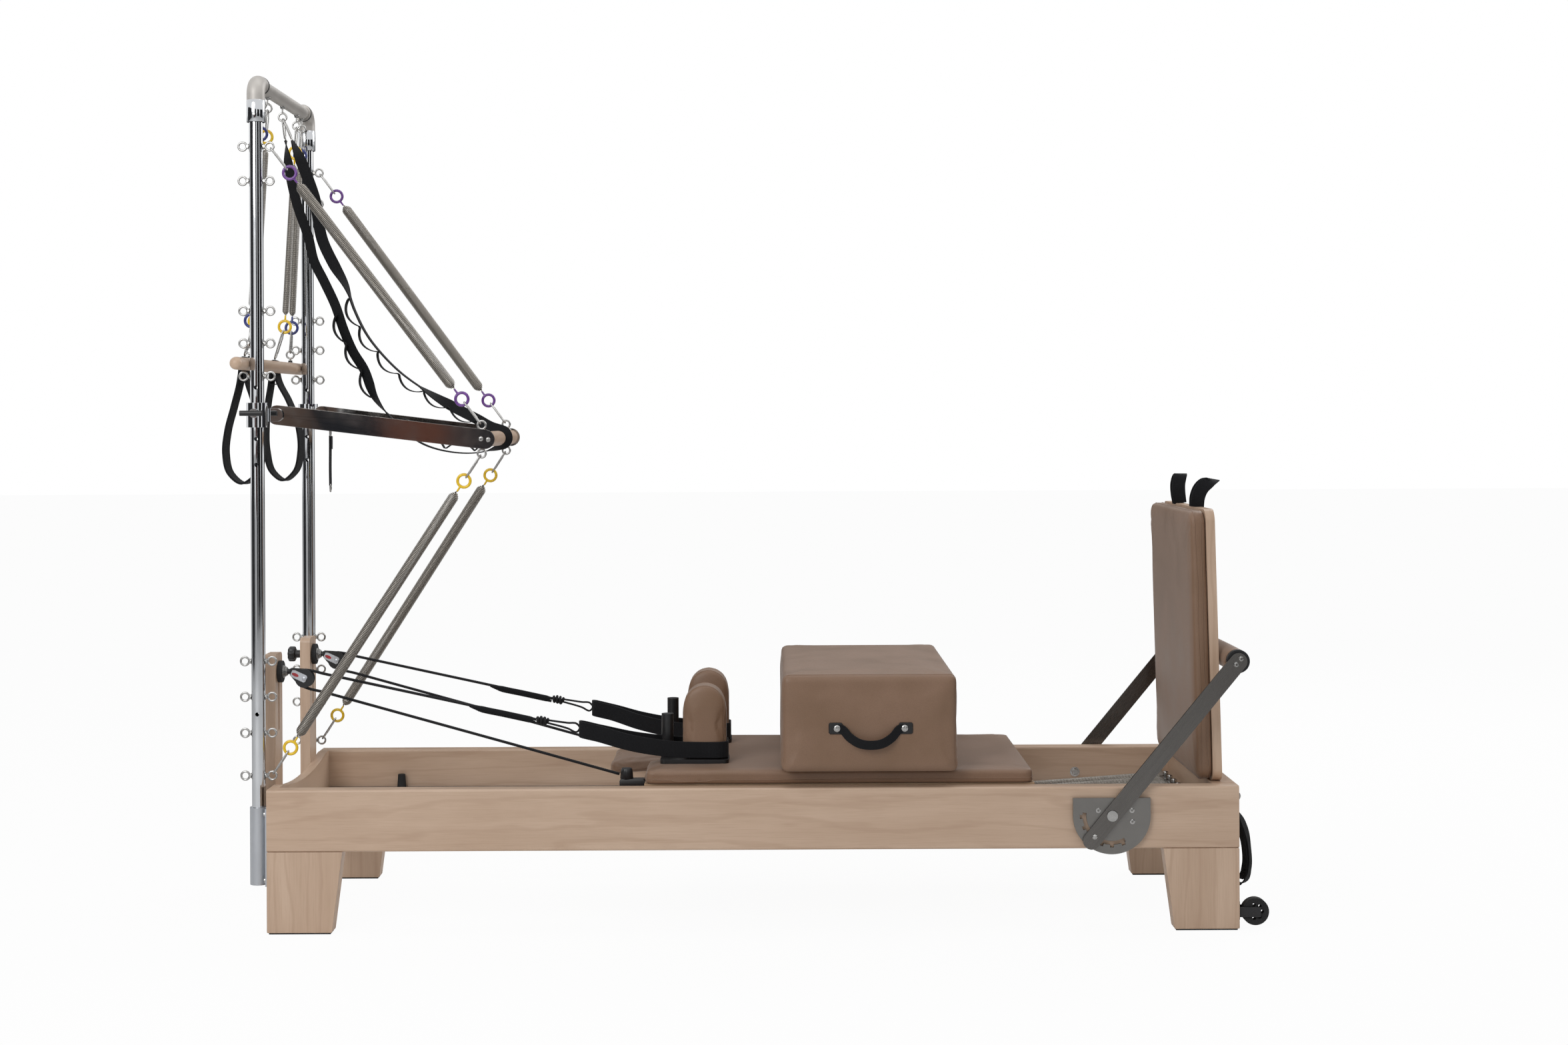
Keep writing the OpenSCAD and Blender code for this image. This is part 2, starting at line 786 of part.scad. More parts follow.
module crossbar() {
    reach = post_side - elbow_bend - 5;
    color(steel)
        difference() {
            translate([post_x, -reach, crossbar_height]) rotate([-90, 0, 0])
                cylinder(h = 2 * reach, r = post_r);
            translate([post_x, -reach - 1, crossbar_height]) rotate([-90, 0, 0])
                cylinder(h = 2 * reach + 2, r = post_r - tube_wall);
        }
}

function post_eye(side, x_side, z) = [post_x + x_side * eye_reach, side * post_side, z];
function push_eye(side, z) = [push_bar_x - 10, side * push_eye_side, z];

// Eyebolts on the posts, crossbar and foot end, with the clips that stay on them
module eyebolts() {
    color(steel) {
        for (s = sides, x = sides, z = eye_levels)
            eyebolt([post_x + x * post_r, s * post_side, z], post_eye(s, x, z));
        for (y = crossbar_eyes)
            eyebolt([post_x, y, crossbar_height - post_r], [post_x, y, crossbar_eye_z]);
        for (s = sides) {
            high = post_eye(s, 1, eye_levels[8]);
            low = post_eye(s, 1, eye_levels[0]);
            clip(high, high + unit(push_eye(s, push_eye_up) - high) * push_clip_reach,
                eye_r, eye_wire, ring_r, ring_wire);
            clip(low, low + unit(push_eye(s, push_eye_down) - low) * push_clip_reach,
                eye_r, eye_wire, ring_r, ring_wire);
        }
        eyebolt([half_length, -200, 300], [half_length + 21, -200, 300]);
    }
}

// Pulleys
module each_pulley() {
    for (s = sides) translate([0, s * pulley_side, 0]) children();
}

module pulley_risers() {
    height = riser_top - rail_bottom;
    color(wood)
        each_pulley()
            difference() {
                translate([-half_length - riser_thick, 0, rail_bottom + height / 2])
                    along_x(riser_thick) rounded(riser_width, height, 14);
                translate([-half_length - riser_thick - 1, 0, clamp_height - 60])
                    along_x(riser_thick + 2) {
                        square([slot_width, 160], center = true);
                        for (z = sides) translate([0, z * 80]) circle(slot_width / 2);
                    }
            }
}

module pulley_blocks() {
    color(grey)
        each_pulley() {
            difference() {
                for (y = sides)
                    translate([0, y * (sheave_thick / 2 + clear) - (y < 0 ? cheek_thick : 0), 0])
                        along_y(0, cheek_thick) {
                            translate([sheave_x, sheave_z]) circle(sheave_r + 1);
                            polygon([
                                [sheave_x - 9, sheave_z - 22], [sheave_x + 9, sheave_z + 22],
                                [-1146, clamp_height + 8], [-1146, clamp_height - 8]
                            ]);
                        }
                translate([sheave_x, -20, sheave_z]) rotate([-90, 0, 0])
                    cylinder(h = 40, r = sheave_pin_r);
            }
            // Axle of the sheave
            translate([sheave_x, -sheave_thick / 2 - clear - cheek_thick, sheave_z])
                rotate([-90, 0, 0])
                    cylinder(h = sheave_thick + 2 * (clear + cheek_thick), r = sheave_pin_r);
            // Head of the clamp stud and the cone that stands for its spring
            translate([-1152, 0, clamp_height]) rotate([0, 90, 0])
                cylinder(h = 8, r = sheave_thick / 2 + clear);
            translate([-half_length + disc_thick, 0, clamp_height]) rotate([0, 90, 0])
                cylinder(h = 12, r1 = 15, r2 = 8);
        }
}

module clamp_discs() {
    color(dark)
        each_pulley()
            difference() {
                translate([-half_length, 0, clamp_height]) rotate([0, 90, 0])
                    cylinder(h = disc_thick, r = 27);
                translate([-half_length - 1, 0, clamp_height]) rotate([0, 90, 0])
                    cylinder(h = disc_thick + 2, r = stud_r + run_clear);
            }
}

module knob(side) {
    outer = -half_length - riser_thick;
    translate([0, side * pulley_side, clamp_height]) {
        translate([outer - 38, 0, 0]) rotate([0, 90, 0]) cylinder(h = 19, r = 20);
        translate([outer - 19, 0, 0]) rotate([0, 90, 0]) cylinder(h = 19 - clear, r = 10.5);
        translate([outer - 1, 0, 0]) rotate([0, 90, 0])
            cylinder(h = riser_thick + disc_thick + 1, r = stud_r);
    }
}

module near_knob() { color(dark) knob(-1); }
module far_knob() { color(dark) knob(1); }

module sheaves() {
    color(dark)
        each_pulley()
            translate([sheave_x, 0, sheave_z]) rotate([-90, 0, 0])
                rotate_extrude($fn = 48)
                    polygon([
                        [sheave_pin_r + run_clear, -sheave_thick / 2], [sheave_r, -sheave_thick / 2],
                        [sheave_r, -sheave_thick / 2 + 1.5], [sheave_groove_r, -4],
                        [sheave_groove_r, 4], [sheave_r, sheave_thick / 2 - 1.5],
                        [sheave_r, sheave_thick / 2], [sheave_pin_r + run_clear, sheave_thick / 2]
                    ]);
}

module track_stops() {
    color(dark)
        for (s = sides)
            translate([-stop_reach, s * (rail_inside - track_width / 2), track_top])
                cylinder(h = stop_height, r1 = track_width / 2 - 0.5, r2 = track_width / 2 - 3);
}

// Footbar
module ring_sector(r0, r1, a0, a1) {
    far = r1 * 2;
    intersection() {
        difference() {
            circle(r1, $fn = 96);
            circle(r0, $fn = 96);
        }
        polygon(concat([[0, 0]], [for (i = [0:6]) let (a = a0 + (a1 - a0) * i / 6)
            far * [cos(a), sin(a)]]));
    }
}

module gear_profile() {
    difference() {
        union() {
            translate([-gear_half, 0]) square([2 * gear_half, gear_rise]);
            circle(gear_radius, $fn = 96);
        }
        translate([-gear_radius - 1, gear_rise]) square(2 * gear_radius + 2);
        ring_sector(lock_r - gear_channel, lock_r + gear_channel, -186, -62);
        for (a = gear_notches)
            rotate(a) translate([lock_r, -gear_channel])
                square([lock_travel + lock_stud_r + 1, 2 * gear_channel]);
        circle(foot_pin_r + run_clear);
    }
}

module gear_plates() {
    bolt_places = [[833, 293], [914, 293], [915, 266]];
    color(grey)
        for (s = sides) {
            y0 = s > 0 ? gear_inside : -gear_outside;
            translate([foot_pivot_x, y0, foot_pivot_z]) along_y(0, gear_thick) gear_profile();
            for (p = bolt_places)
                rod([p[0], s * half_width, p[1] - 281 + foot_pivot_z],
                    [p[0], s * (gear_outside + 0.4), p[1] - 281 + foot_pivot_z], 6);
        }
}

module footbar_pivots() {
    color(steel)
        for (s = sides) {
            p = [foot_pivot_x, 0, foot_pivot_z];
            rod(p + [0, s * (half_width + 1), 0], p + [0, s * (foot_arm_outside + 4), 0], foot_pin_r);
            rod(p + [0, s * (foot_arm_outside + clear), 0],
                p + [0, s * (foot_arm_outside + 4), 0], 13);
        }
}

module foot_arm_profile() {
    difference() {
        union() {
            translate([-lock_r - 12, -foot_arm_width / 2])
                square([foot_arm_length + lock_r + 12, foot_arm_width]);
            translate([foot_arm_length, 0]) circle(foot_arm_width / 2);
            translate([-lock_r - 12, 0]) circle(foot_arm_width / 2);
        }
        translate([0, -foot_pin_r - clear]) square([lock_travel, 2 * (foot_pin_r + clear)]);
        circle(foot_pin_r + clear);
        translate([lock_travel, 0]) circle(foot_pin_r + clear);
    }
}

module in_footbar() {
    translate([foot_pivot_x, 0, foot_pivot_z]) rotate([0, -foot_arm_angle, 0]) children();
}

module footbar_arms() {
    color(steel)
        in_footbar()
            for (s = sides) {
                y0 = s > 0 ? foot_arm_inside : -foot_arm_outside;
                translate([0, y0, 0]) along_y(0, foot_arm_thick) foot_arm_profile();
                rod([-lock_r, s * (gear_inside + clear), 0],
                    [-lock_r, s * (foot_arm_inside + 1), 0], lock_stud_r);
                for (x = [-9, 9])
                    rod([foot_arm_length + x, s * foot_arm_outside, 0],
                        [foot_arm_length + x, s * (foot_arm_outside + 3), 0], 6);
            }
}

module footbar_core() {
    color(steel)
        in_footbar()
            translate([foot_arm_length, -foot_arm_inside, 0]) rotate([-90, 0, 0])
                difference() {
                    cylinder(h = 2 * foot_arm_inside, r = 14);
                    translate([0, 0, -1]) cylinder(h = 2 * foot_arm_inside + 2, r = 11.5);
                }
}

module footbar_bar() {
    half = foot_arm_inside - 12;
    color(tan)
        in_footbar()
            translate([foot_arm_length, 0, 0]) rotate([-90, 0, 0])
                rotate_extrude($fn = 48)
                    polygon([
                        [14, -half], [foot_bar_r - 4, -half], [foot_bar_r, -half + 5],
                        [foot_bar_r, half - 5], [foot_bar_r - 4, half], [14, half]
                    ]);
}

module footbar_caps() {
    half = foot_arm_inside - 12;
    color(dark)
        in_footbar()
            for (s = sides)
                translate([foot_arm_length, s * (half + (s > 0 ? 0 : 12)), 0])
                    rotate([-90, 0, 0])
                        difference() {
                            cylinder(h = 12, r = foot_bar_r);
                            translate([0, 0, -1]) cylinder(h = 14, r = 14);
                        }
}

// Spring bar and carriage springs
module spring_bar() {
    color(grey) {
        translate([spring_bar_x, -rail_inside, spring_axis_z - spring_bar_size - 8])
            cube([spring_bar_size, 2 * rail_inside, spring_bar_size]);
        for (i = [-2:2])
            translate([spring_bar_x + spring_bar_size / 2, i * spring_spacing, spring_axis_z - 8]) {
                cylinder(h = 16, r = 4);
                translate([0, 0, 10]) cylinder(h = 6, r = 7);
            }
    }
}

module carriage_springs() {
    hook_x = spring_bar_x + spring_bar_size / 2 - 4.1;
    color(steel)
        for (i = [-2:2])
            spring([spring_anchor_x + 0.1, i * spring_spacing, spring_axis_z],
                [hook_x, i * spring_spacing, spring_axis_z],
                carriage_spring_dia, carriage_wire, carriage_curls);
}

// Push-through bar
module push_collars() {
    color(dark)
        for (s = sides)
            mirror([0, s > 0 ? 0 : 1, 0]) {
                lug_inside = push_arm_side + push_arm_thick / 2 + 0.5;
                difference() {
                    union() {
                        translate([post_x, post_side, collar_z - collar_height / 2])
                            cylinder(h = collar_height, d = collar_dia);
                        translate([post_x, lug_inside, collar_z - 16])
                            cube([push_pivot_reach, 8, 32]);
                        translate([push_x, lug_inside, collar_z]) rotate([-90, 0, 0])
                            cylinder(h = 8, r = 16);
                        translate([post_x, post_side, pinned_level]) rotate([-90, 0, 0])
                            cylinder(h = collar_dia / 2 + collar_boss, r = 11);
                    }
                    translate([post_x, post_side, collar_z - collar_height])
                        cylinder(h = 2 * collar_height, r = post_r + run_clear);
                    translate([post_x, post_side, pinned_level]) rotate([-90, 0, 0])
                        cylinder(h = collar_dia, r = lock_pin_r + run_clear);
                }
                // Pivot bolt
                inner = push_arm_side - push_arm_thick / 2 - clear;
                rod([push_x, inner, collar_z], [push_x, lug_inside + 4, collar_z], push_pin_r);
                rod([push_x, inner - 5, collar_z], [push_x, inner, collar_z], 9);
            }
}

module lock_pin(side) {
    tip = post_side + post_r - tube_wall - 4;
    head = post_side + 65;
    y = side;
    rod([post_x, y * tip, pinned_level], [post_x, y * head, pinned_level], lock_pin_r);
    rod([post_x - 27, y * head, pinned_level], [post_x + 27, y * head, pinned_level], 6.5);
}

module near_lock_pin() { color(dark) lock_pin(-1); }
module far_lock_pin() { color(dark) lock_pin(1); }

module in_push() {
    translate([push_x, 0, push_pivot_height]) rotate([0, push_angle, 0]) children();
}

module push_arms() {
    half = push_arm_height / 2;
    color(steel)
        in_push()
            for (s = sides)
                translate([0, s * push_arm_side - push_arm_thick / 2, 0])
                    along_y(0, push_arm_thick)
                        difference() {
                            union() {
                                translate([0, -half]) square([push_arm_length, push_arm_height]);
                                circle(half);
                                translate([push_arm_length, 0]) circle(half);
                            }
                            circle(push_pin_r + run_clear);
                        }
}

module push_handle() {
    half = push_arm_side - push_arm_thick / 2;
    color(wood)
        translate([push_bar_x, -half, push_bar_z]) rotate([-90, 0, 0])
            cylinder(h = 2 * half, d = push_bar_dia);
}

// Bolts, eyebolts and clips that ride on the push-through bar
module push_fittings() {
    color(steel)
        for (s = sides) {
            face = push_arm_side + push_arm_thick / 2;
            in_push()
                for (x = [-9, 9])
                    rod([push_arm_length + x, s * face, 0],
                        [push_arm_length + x, s * (face + 4), 0], 6);
            for (up = sides) {
                z = push_bar_z + up * push_eye_reach;
                eye = push_eye(s, z);
                surface = [push_bar_x - 4, s * push_eye_side, push_bar_z + up * (push_bar_dia / 2 + 0.05)];
                eyebolt(surface, eye);
                post = post_eye(s, 1, up > 0 ? eye_levels[8] : eye_levels[0]);
                clip(eye, eye + unit(post - eye) * push_clip_reach,
                    eye_r, eye_wire, ring_r, ring_wire);
            }
        }
}

module push_springs() {
    for (s = sides, up = sides) {
        eye = push_eye(s, push_bar_z + up * push_eye_reach);
        post = post_eye(s, 1, up > 0 ? eye_levels[8] : eye_levels[0]);
        d = unit(eye - post);
        color(up > 0 ? purple : yellow)
            ringed_spring(post + d * push_clip_reach, eye - d * push_clip_reach,
                push_spring_dia, push_wire, push_curls);
    }
}

module safety_strap() {
    x = push_x + 22;
    top = push_pivot_height - 22 * tan(push_angle) - push_arm_height / 2 / cos(push_angle) - 2;
    color(dark)
        translate([x - 10, push_arm_side - 2.5, 1048]) cube([20, 5, top - 1048]);
}

// Webbing that hangs from the crossbar and loops round the push bar
module loop_strap() {
    path = in_plane(strap_route, 0);
    color(dark) {
        run(path, [0, 1, 0], band_section(3, 26));
        for (x = [0, len(path) - 1])
            clip_to([post_x, 0, crossbar_eye_z], path[x], eye_r, eye_wire);
    }
}

// Roll-down bar, hand loops and their springs
module roll_down_bar() {
    straight = roll_bar_half - roll_bar_r;
    color(wood)
        translate([roll_bar_x, -straight, roll_bar_height]) {
            rotate([-90, 0, 0]) cylinder(h = 2 * straight, r = roll_bar_r);
            sphere(roll_bar_r);
            translate([0, 2 * straight, 0]) sphere(roll_bar_r);
        }
}

module roll_down_springs() {
    color(steel)
        for (s = sides) {
            top = [post_x, s * blue_spring_side, crossbar_eye_z];
            eye = [roll_bar_x, s * blue_spring_side, roll_eye_z];
            d = unit(eye - top);
            high = top + d * arm_clip_reach;
            low = eye - d * arm_clip_reach;
            clip(top, high, eye_r, eye_wire, ring_r, ring_wire);
            clip(eye, low, eye_r, eye_wire, ring_r, ring_wire);
            ringed_spring(high, low, arm_spring_dia, arm_wire, arm_curls);
            eyebolt([roll_bar_x, s * blue_spring_side, roll_bar_height + roll_bar_r + 0.05], eye);
        }
}

module arm_spring(side) {
    top = [post_x, side * yellow_spring_side, crossbar_eye_z];
    low = [hand_ring[0], side * yellow_spring_side, hand_ring[1]];
    strap = [-1265, side * yellow_spring_side, 1400 + hand_strap_thick / 2];
    high = top + unit(low - top) * arm_clip_reach;
    clip(top, high, eye_r, eye_wire, ring_r, ring_wire);
    ringed_spring(high, low, arm_spring_dia, arm_wire, arm_curls);
    clip_to(low, strap, ring_r, ring_wire);
}

module near_arm_spring() { color(yellow) arm_spring(-1); }
module far_arm_spring() { color(yellow) arm_spring(1); }

module hand_strap(route, side) {
    run(in_plane(route, side * yellow_spring_side), [0, 1, 0],
        band_section(hand_strap_thick, hand_strap_width), true);
}

module near_hand_strap() { color(dark) hand_strap(near_hand_route, -1); }
module far_hand_strap() { color(dark) hand_strap(far_hand_route, 1); }

// Foot end
module wheel_brackets() {
    gap = 13;
    color(dark)
        for (s = sides)
            translate([half_length, s * roller_side, 0]) {
                translate([0, -gap - 4, roller_height - 18]) cube([3, 2 * gap + 8, 44]);
                for (y = sides)
                    translate([0, y * (gap + 2) - 2, roller_height - 12]) cube([54, 4, 24]);
                translate([42, -gap - 4, roller_height]) rotate([-90, 0, 0])
                    cylinder(h = 2 * gap + 8, r = 4);
            }
}

module transport_wheels() {
    spokes = 7;
    color(dark)
        for (s = sides)
            translate([half_length + 42, s * roller_side - 11, roller_height]) rotate([-90, 0, 0])
                difference() {
                    cylinder(h = 22, d = roller_dia, $fn = 64);
                    translate([0, 0, -1]) cylinder(h = 24, r = 4 + run_clear);
                    for (i = [0:spokes - 1])
                        rotate(360 * i / spokes) translate([16, 0, -1]) cylinder(h = 24, r = 4.5);
                }
}

module hanging_straps() {
    color(dark) {
        run(in_plane(hanging_outer, -200), [0, 1, 0], band_section(4, 30), true);
        run(in_plane(hanging_inner, -200), [0, 1, 0], band_section(4, 30), true);
        clip_to([half_length + 21, -200, 300], [half_length + 21, -200, 258], eye_r, eye_wire);
    }
}

// Carriage
module carriage_frame() {
    length = pad_length;
    color(wood)
        difference() {
            union() {
                translate([pad_x0, -board_half, board_bottom])
                    cube([length, 2 * board_half, board_thick]);
                for (s = sides)
                    translate([pad_x0 + 15, s * beam_side - (s > 0 ? 0 : beam_thick), beam_bottom])
                        cube([length - 32, beam_thick, board_bottom - beam_bottom]);
                for (x = [pad_x0 + 15, spring_anchor_x - 20])
                    translate([x, -beam_side, beam_bottom])
                        cube([20, 2 * beam_side, board_bottom - beam_bottom]);
                // Ledge that carries the headrest, and the ears of its hinge
                translate([pad_x0 + 5, -headrest_half, board_top]) cube([20, 2 * headrest_half, 1.9]);
                for (s = sides)
                    translate([hinge_x - 4, s * (hinge_half + 6) - 5, board_top]) cube([8, 10, 8]);
                rod([hinge_x, -hinge_half - 8, hinge_z], [hinge_x, hinge_half + 8, hinge_z],
                    hinge_pin_r);
            }
            for (x = wheel_x)
                translate([x, -board_half, axle_z]) rotate([-90, 0, 0])
                    cylinder(h = 2 * board_half, r = 5 + run_clear);
        }
}

module wheel_pair(x) {
    wheel_width = 18;
    inner = rail_inside - track_width / 2 - wheel_width / 2;
    color(grey)
        translate([x, 0, axle_z]) rotate([-90, 0, 0]) {
            cylinder(h = 2 * inner + 2, r = 5, center = true);
            for (s = sides)
                translate([0, 0, s * (inner + wheel_width / 2)])
                    cylinder(h = wheel_width, r = carriage_wheel_r, center = true, $fn = 48);
        }
}

module head_wheels() { wheel_pair(wheel_x[0]); }
module foot_wheels() { wheel_pair(wheel_x[1]); }

module carriage_pad() {
    main_length = pad_length - ear_length;
    notch = headrest_half + 5;
    ear_width = pad_width / 2 - notch;
    color(tan) {
        translate([pad_x0 + ear_length + main_length / 2, 0, pad_bottom])
            block_cushion(main_length, pad_width, pad_thick, cushion_edge, 22);
        for (s = sides)
            translate([
                pad_x0 + (ear_length - clear) / 2, s * (notch + ear_width / 2), pad_bottom
            ])
                block_cushion(ear_length - clear, ear_width, pad_thick, cushion_edge, 22);
    }
}

module shoulder_bases() {
    color(dark)
        for (s = sides) {
            translate([-145, s * 168, base_z])
                linear_extrude(base_thick) rounded(170, 94, 12);
            translate([shoulder_post_x, s * shoulder_post_side, base_z + base_thick])
                cylinder(h = shoulder_post_top - base_z - base_thick, r = 15);
        }
}

// Upright cushion with a round top, drawn in XZ and built across the frame
module shoulder_rests() {
    half_l = rest_length / 2;
    half_h = rest_height / 2;
    outline = concat(
        [[-half_l, -half_h + 10], [-half_l + 10, -half_h], [half_l - 10, -half_h],
            [half_l, -half_h + 10]],
        [for (i = [0:8]) let (a = 180 * i / 8)
            [half_l * cos(a), half_h - half_l + half_l * sin(a)]]
    );
    edge = 12;
    steps = [
        [0, half_l * 0.6], [crown, edge * 0.9], [crown + edge * 0.35, edge * 0.15],
        [crown + edge, 0], [rest_width / 2, draw_in], [rest_width - crown - edge, 0],
        [rest_width - crown - edge * 0.35, edge * 0.15], [rest_width - crown, edge * 0.9],
        [rest_width, half_l * 0.6]
    ];
    color(tan)
        for (s = sides)
            translate([
                rest_x + half_l, s * rest_side + (s > 0 ? rest_width : 0), rest_z + half_h
            ])
                rotate([90, 0, 0]) cushion(outline, [half_l, half_h], steps);
}

module rope_cleats() {
    color(dark)
        for (s = sides)
            translate([pad_x0 - 66, s * pulley_side - 15, board_bottom + 5])
                difference() {
                    cube([66, 30, 42]);
                    translate([-1, -1, 37]) cube([30, 32, 6]);
                    translate([29, -1, 15.9]) cube([40, 32, 27]);
                }
}

module foot_loops() {
    color(dark)
        for (s = sides)
            run([for (p = foot_loop_route) [p[0], s * p[1], p[2]]], [0, 0, 1],
                band_section(3, 40), true);
}

module ropes() {
    color(dark)
        each_pulley() {
            run(in_plane(rope_route, 0), [0, 1, 0], circle_section(rope_r, 8));
            run(in_plane(rope_tail_route, 0), [0, 1, 0], circle_section(rope_r, 8));
            at([knot[0], 0, knot[1]], [foot_loop_start[0] - knot[0], 0, foot_loop_start[2] - knot[1]])
                translate([0, 0, -knot_r]) cylinder(h = 2 * knot_r, r = knot_r);
        }
    color(dark)
        for (s = sides, z = [12, -8])
            rod([knot[0] + 9, s * pulley_side, knot[1] + z / 3],
                [foot_loop_start[0], s * foot_loop_start[1], foot_loop_start[2] + z], 3);
}

module in_headrest() {
    translate([hinge_x, 0, hinge_z]) rotate([0, -headrest_tilt, 0]) children();
}

module headrest() {
    offset_x = hinge_barrel_r + clear;
    color(tan)
        in_headrest()
            translate([-offset_x - headrest_length / 2, 0, leaf_thick + 1.5])
                block_cushion(headrest_length, 2 * headrest_half, headrest_thick, cushion_edge, 18);
}

module headrest_hinge() {
    color(steel)
        in_headrest()
            difference() {
                union() {
                    rotate([90, 0, 0])
                        cylinder(h = 2 * hinge_half, r = hinge_barrel_r, center = true);
                    translate([-60, -hinge_half, 1.5]) cube([60, 2 * hinge_half, leaf_thick]);
                }
                rotate([90, 0, 0])
                    cylinder(h = 3 * hinge_half, r = hinge_pin_r + run_clear, center = true);
            }
}

// Sitting box
module sitting_box() {
    half = box_length / 2;
    color(tan)
        translate([box_start + half, 0, pad_top + clear])
            block_cushion(box_length, box_width, box_height - crown, box_edge, 34);
}

module box_handles() {
    mid_x = box_start + box_length / 2 + 2.5;
    face = box_width / 2;
    color(dark)
        for (s = sides) {
            path = [for (p = handle_route) [mid_x + p[0], s * (face + p[1]), 494 + p[2]]];
            run(path, [0, 0, 1], band_section(4, 26));
            for (x = sides)
                rod([mid_x + x * 81.5, s * (face - draw_in + 3 * clear), 494],
                    [mid_x + x * 81.5, s * (face + 7), 494], 5);
        }
}

// Jumpboard, drawn upright from its foot and then leaned
module in_jump() {
    translate([jump_face, 0, jump_foot_z]) rotate([0, jump_angle, 0]) children();
}

module jump_pegs(r, depth) {
    in_jump()
        for (s = sides)
            translate([-jump_panel_thick / 2, s * 200, -depth]) cylinder(h = depth + 0.1, r = r);
}

module jumpboard_panel() {
    color(wood) {
        in_jump()
            translate([-jump_panel_thick, 0, jump_height / 2])
                along_x(jump_panel_thick) rounded(2 * jump_half, jump_height, jump_corner);
        jump_pegs(6, 38);
    }
}

module jumpboard_pad() {
    color(tan)
        in_jump()
            translate([-jump_panel_thick - 0.1, 0, jump_height / 2]) rotate([0, -90, 0])
                block_cushion(jump_height, 2 * jump_half, jump_pad_thick, 12, jump_corner);
}

module jumpboard_loops() {
    color(dark)
        in_jump()
            for (s = sides) {
                route = s < 0 ? near_loop_route : far_loop_route;
                translate([-jump_panel_thick / 2, s * 115, jump_height])
                    run(route, [1, 0, 0], band_section(3, 34));
            }
}

side_rails();
tracks();
legs();
foot_pads();
end_boards();
post_sockets();
frame_screws();
posts();
elbows();
crossbar();
eyebolts();
pulley_risers();
pulley_blocks();
clamp_discs();
track_stops();
gear_plates();
spring_bar();
carriage_springs();
push_collars();
push_springs();
loop_strap();
wheel_brackets();
hanging_straps();
carriage_frame();
carriage_pad();
shoulder_bases();
shoulder_rests();
rope_cleats();
foot_loops();
ropes();
head_wheels();
foot_wheels();
headrest();
headrest_hinge();
sitting_box();
box_handles();
jumpboard_panel();
jumpboard_pad();
jumpboard_loops();
footbar_pivots();
footbar_arms();
footbar_core();
footbar_bar();
footbar_caps();
push_arms();
push_handle();
push_fittings();
safety_strap();
near_lock_pin();
far_lock_pin();
roll_down_bar();
roll_down_springs();
near_arm_spring();
near_hand_strap();
far_arm_spring();
far_hand_strap();
sheaves();
near_knob();
far_knob();
transport_wheels();
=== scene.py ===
import math

import bmesh
import bpy
import numpy as np
from mathutils import Matrix, Vector
from mathutils.bvhtree import BVHTree


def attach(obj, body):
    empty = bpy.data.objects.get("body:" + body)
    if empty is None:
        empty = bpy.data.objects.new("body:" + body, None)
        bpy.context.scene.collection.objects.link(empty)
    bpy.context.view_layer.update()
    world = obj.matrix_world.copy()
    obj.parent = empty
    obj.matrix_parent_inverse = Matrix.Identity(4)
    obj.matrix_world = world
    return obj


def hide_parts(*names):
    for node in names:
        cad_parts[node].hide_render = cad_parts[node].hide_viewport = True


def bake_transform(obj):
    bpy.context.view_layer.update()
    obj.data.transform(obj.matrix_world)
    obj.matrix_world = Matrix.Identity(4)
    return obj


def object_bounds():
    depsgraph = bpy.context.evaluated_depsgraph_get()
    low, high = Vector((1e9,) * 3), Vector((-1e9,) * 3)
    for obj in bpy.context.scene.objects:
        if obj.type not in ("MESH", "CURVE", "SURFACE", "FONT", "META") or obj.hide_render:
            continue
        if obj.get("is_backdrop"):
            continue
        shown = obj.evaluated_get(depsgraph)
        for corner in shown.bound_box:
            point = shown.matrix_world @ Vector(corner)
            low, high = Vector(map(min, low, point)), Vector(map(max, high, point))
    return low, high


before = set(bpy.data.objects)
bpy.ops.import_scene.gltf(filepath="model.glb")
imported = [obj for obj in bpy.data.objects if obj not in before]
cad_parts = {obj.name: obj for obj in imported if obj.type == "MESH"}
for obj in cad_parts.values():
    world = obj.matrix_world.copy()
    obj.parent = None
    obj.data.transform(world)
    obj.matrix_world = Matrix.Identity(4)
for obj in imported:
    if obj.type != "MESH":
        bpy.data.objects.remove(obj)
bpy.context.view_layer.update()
scene = bpy.context.scene
MM = 0.001  # routes and sizes below are in millimetres, as on a drawing
SIDES = {"near": -1, "far": 1}  # the camera stands on the near side, at negative Y

# Camera: eye height 1.25 m, 5.6 m from the middle, and turned by a quarter of a degree
lens = bpy.data.cameras.new("camera")
lens.lens = 50
lens.sensor_width = 36
lens.shift_x, lens.shift_y = 0.0072, -0.0685
camera = bpy.data.objects.new("camera", lens)
camera.location = (0.0526, -5.5995, 1.25)
camera.rotation_euler = (math.radians(90), math.radians(0.27), 0)
scene.collection.objects.link(camera)
scene.camera = camera


# Shapes. Each is (points, faces, unrolled places), in millimetres
def unit(v):
    v = np.asarray(v, float)
    return v / np.linalg.norm(v)


def lengths(path):
    """Distance along a path at each of its points."""
    steps = np.linalg.norm(np.diff(path, axis=0), axis=1)
    return np.concatenate([[0], np.cumsum(steps)])


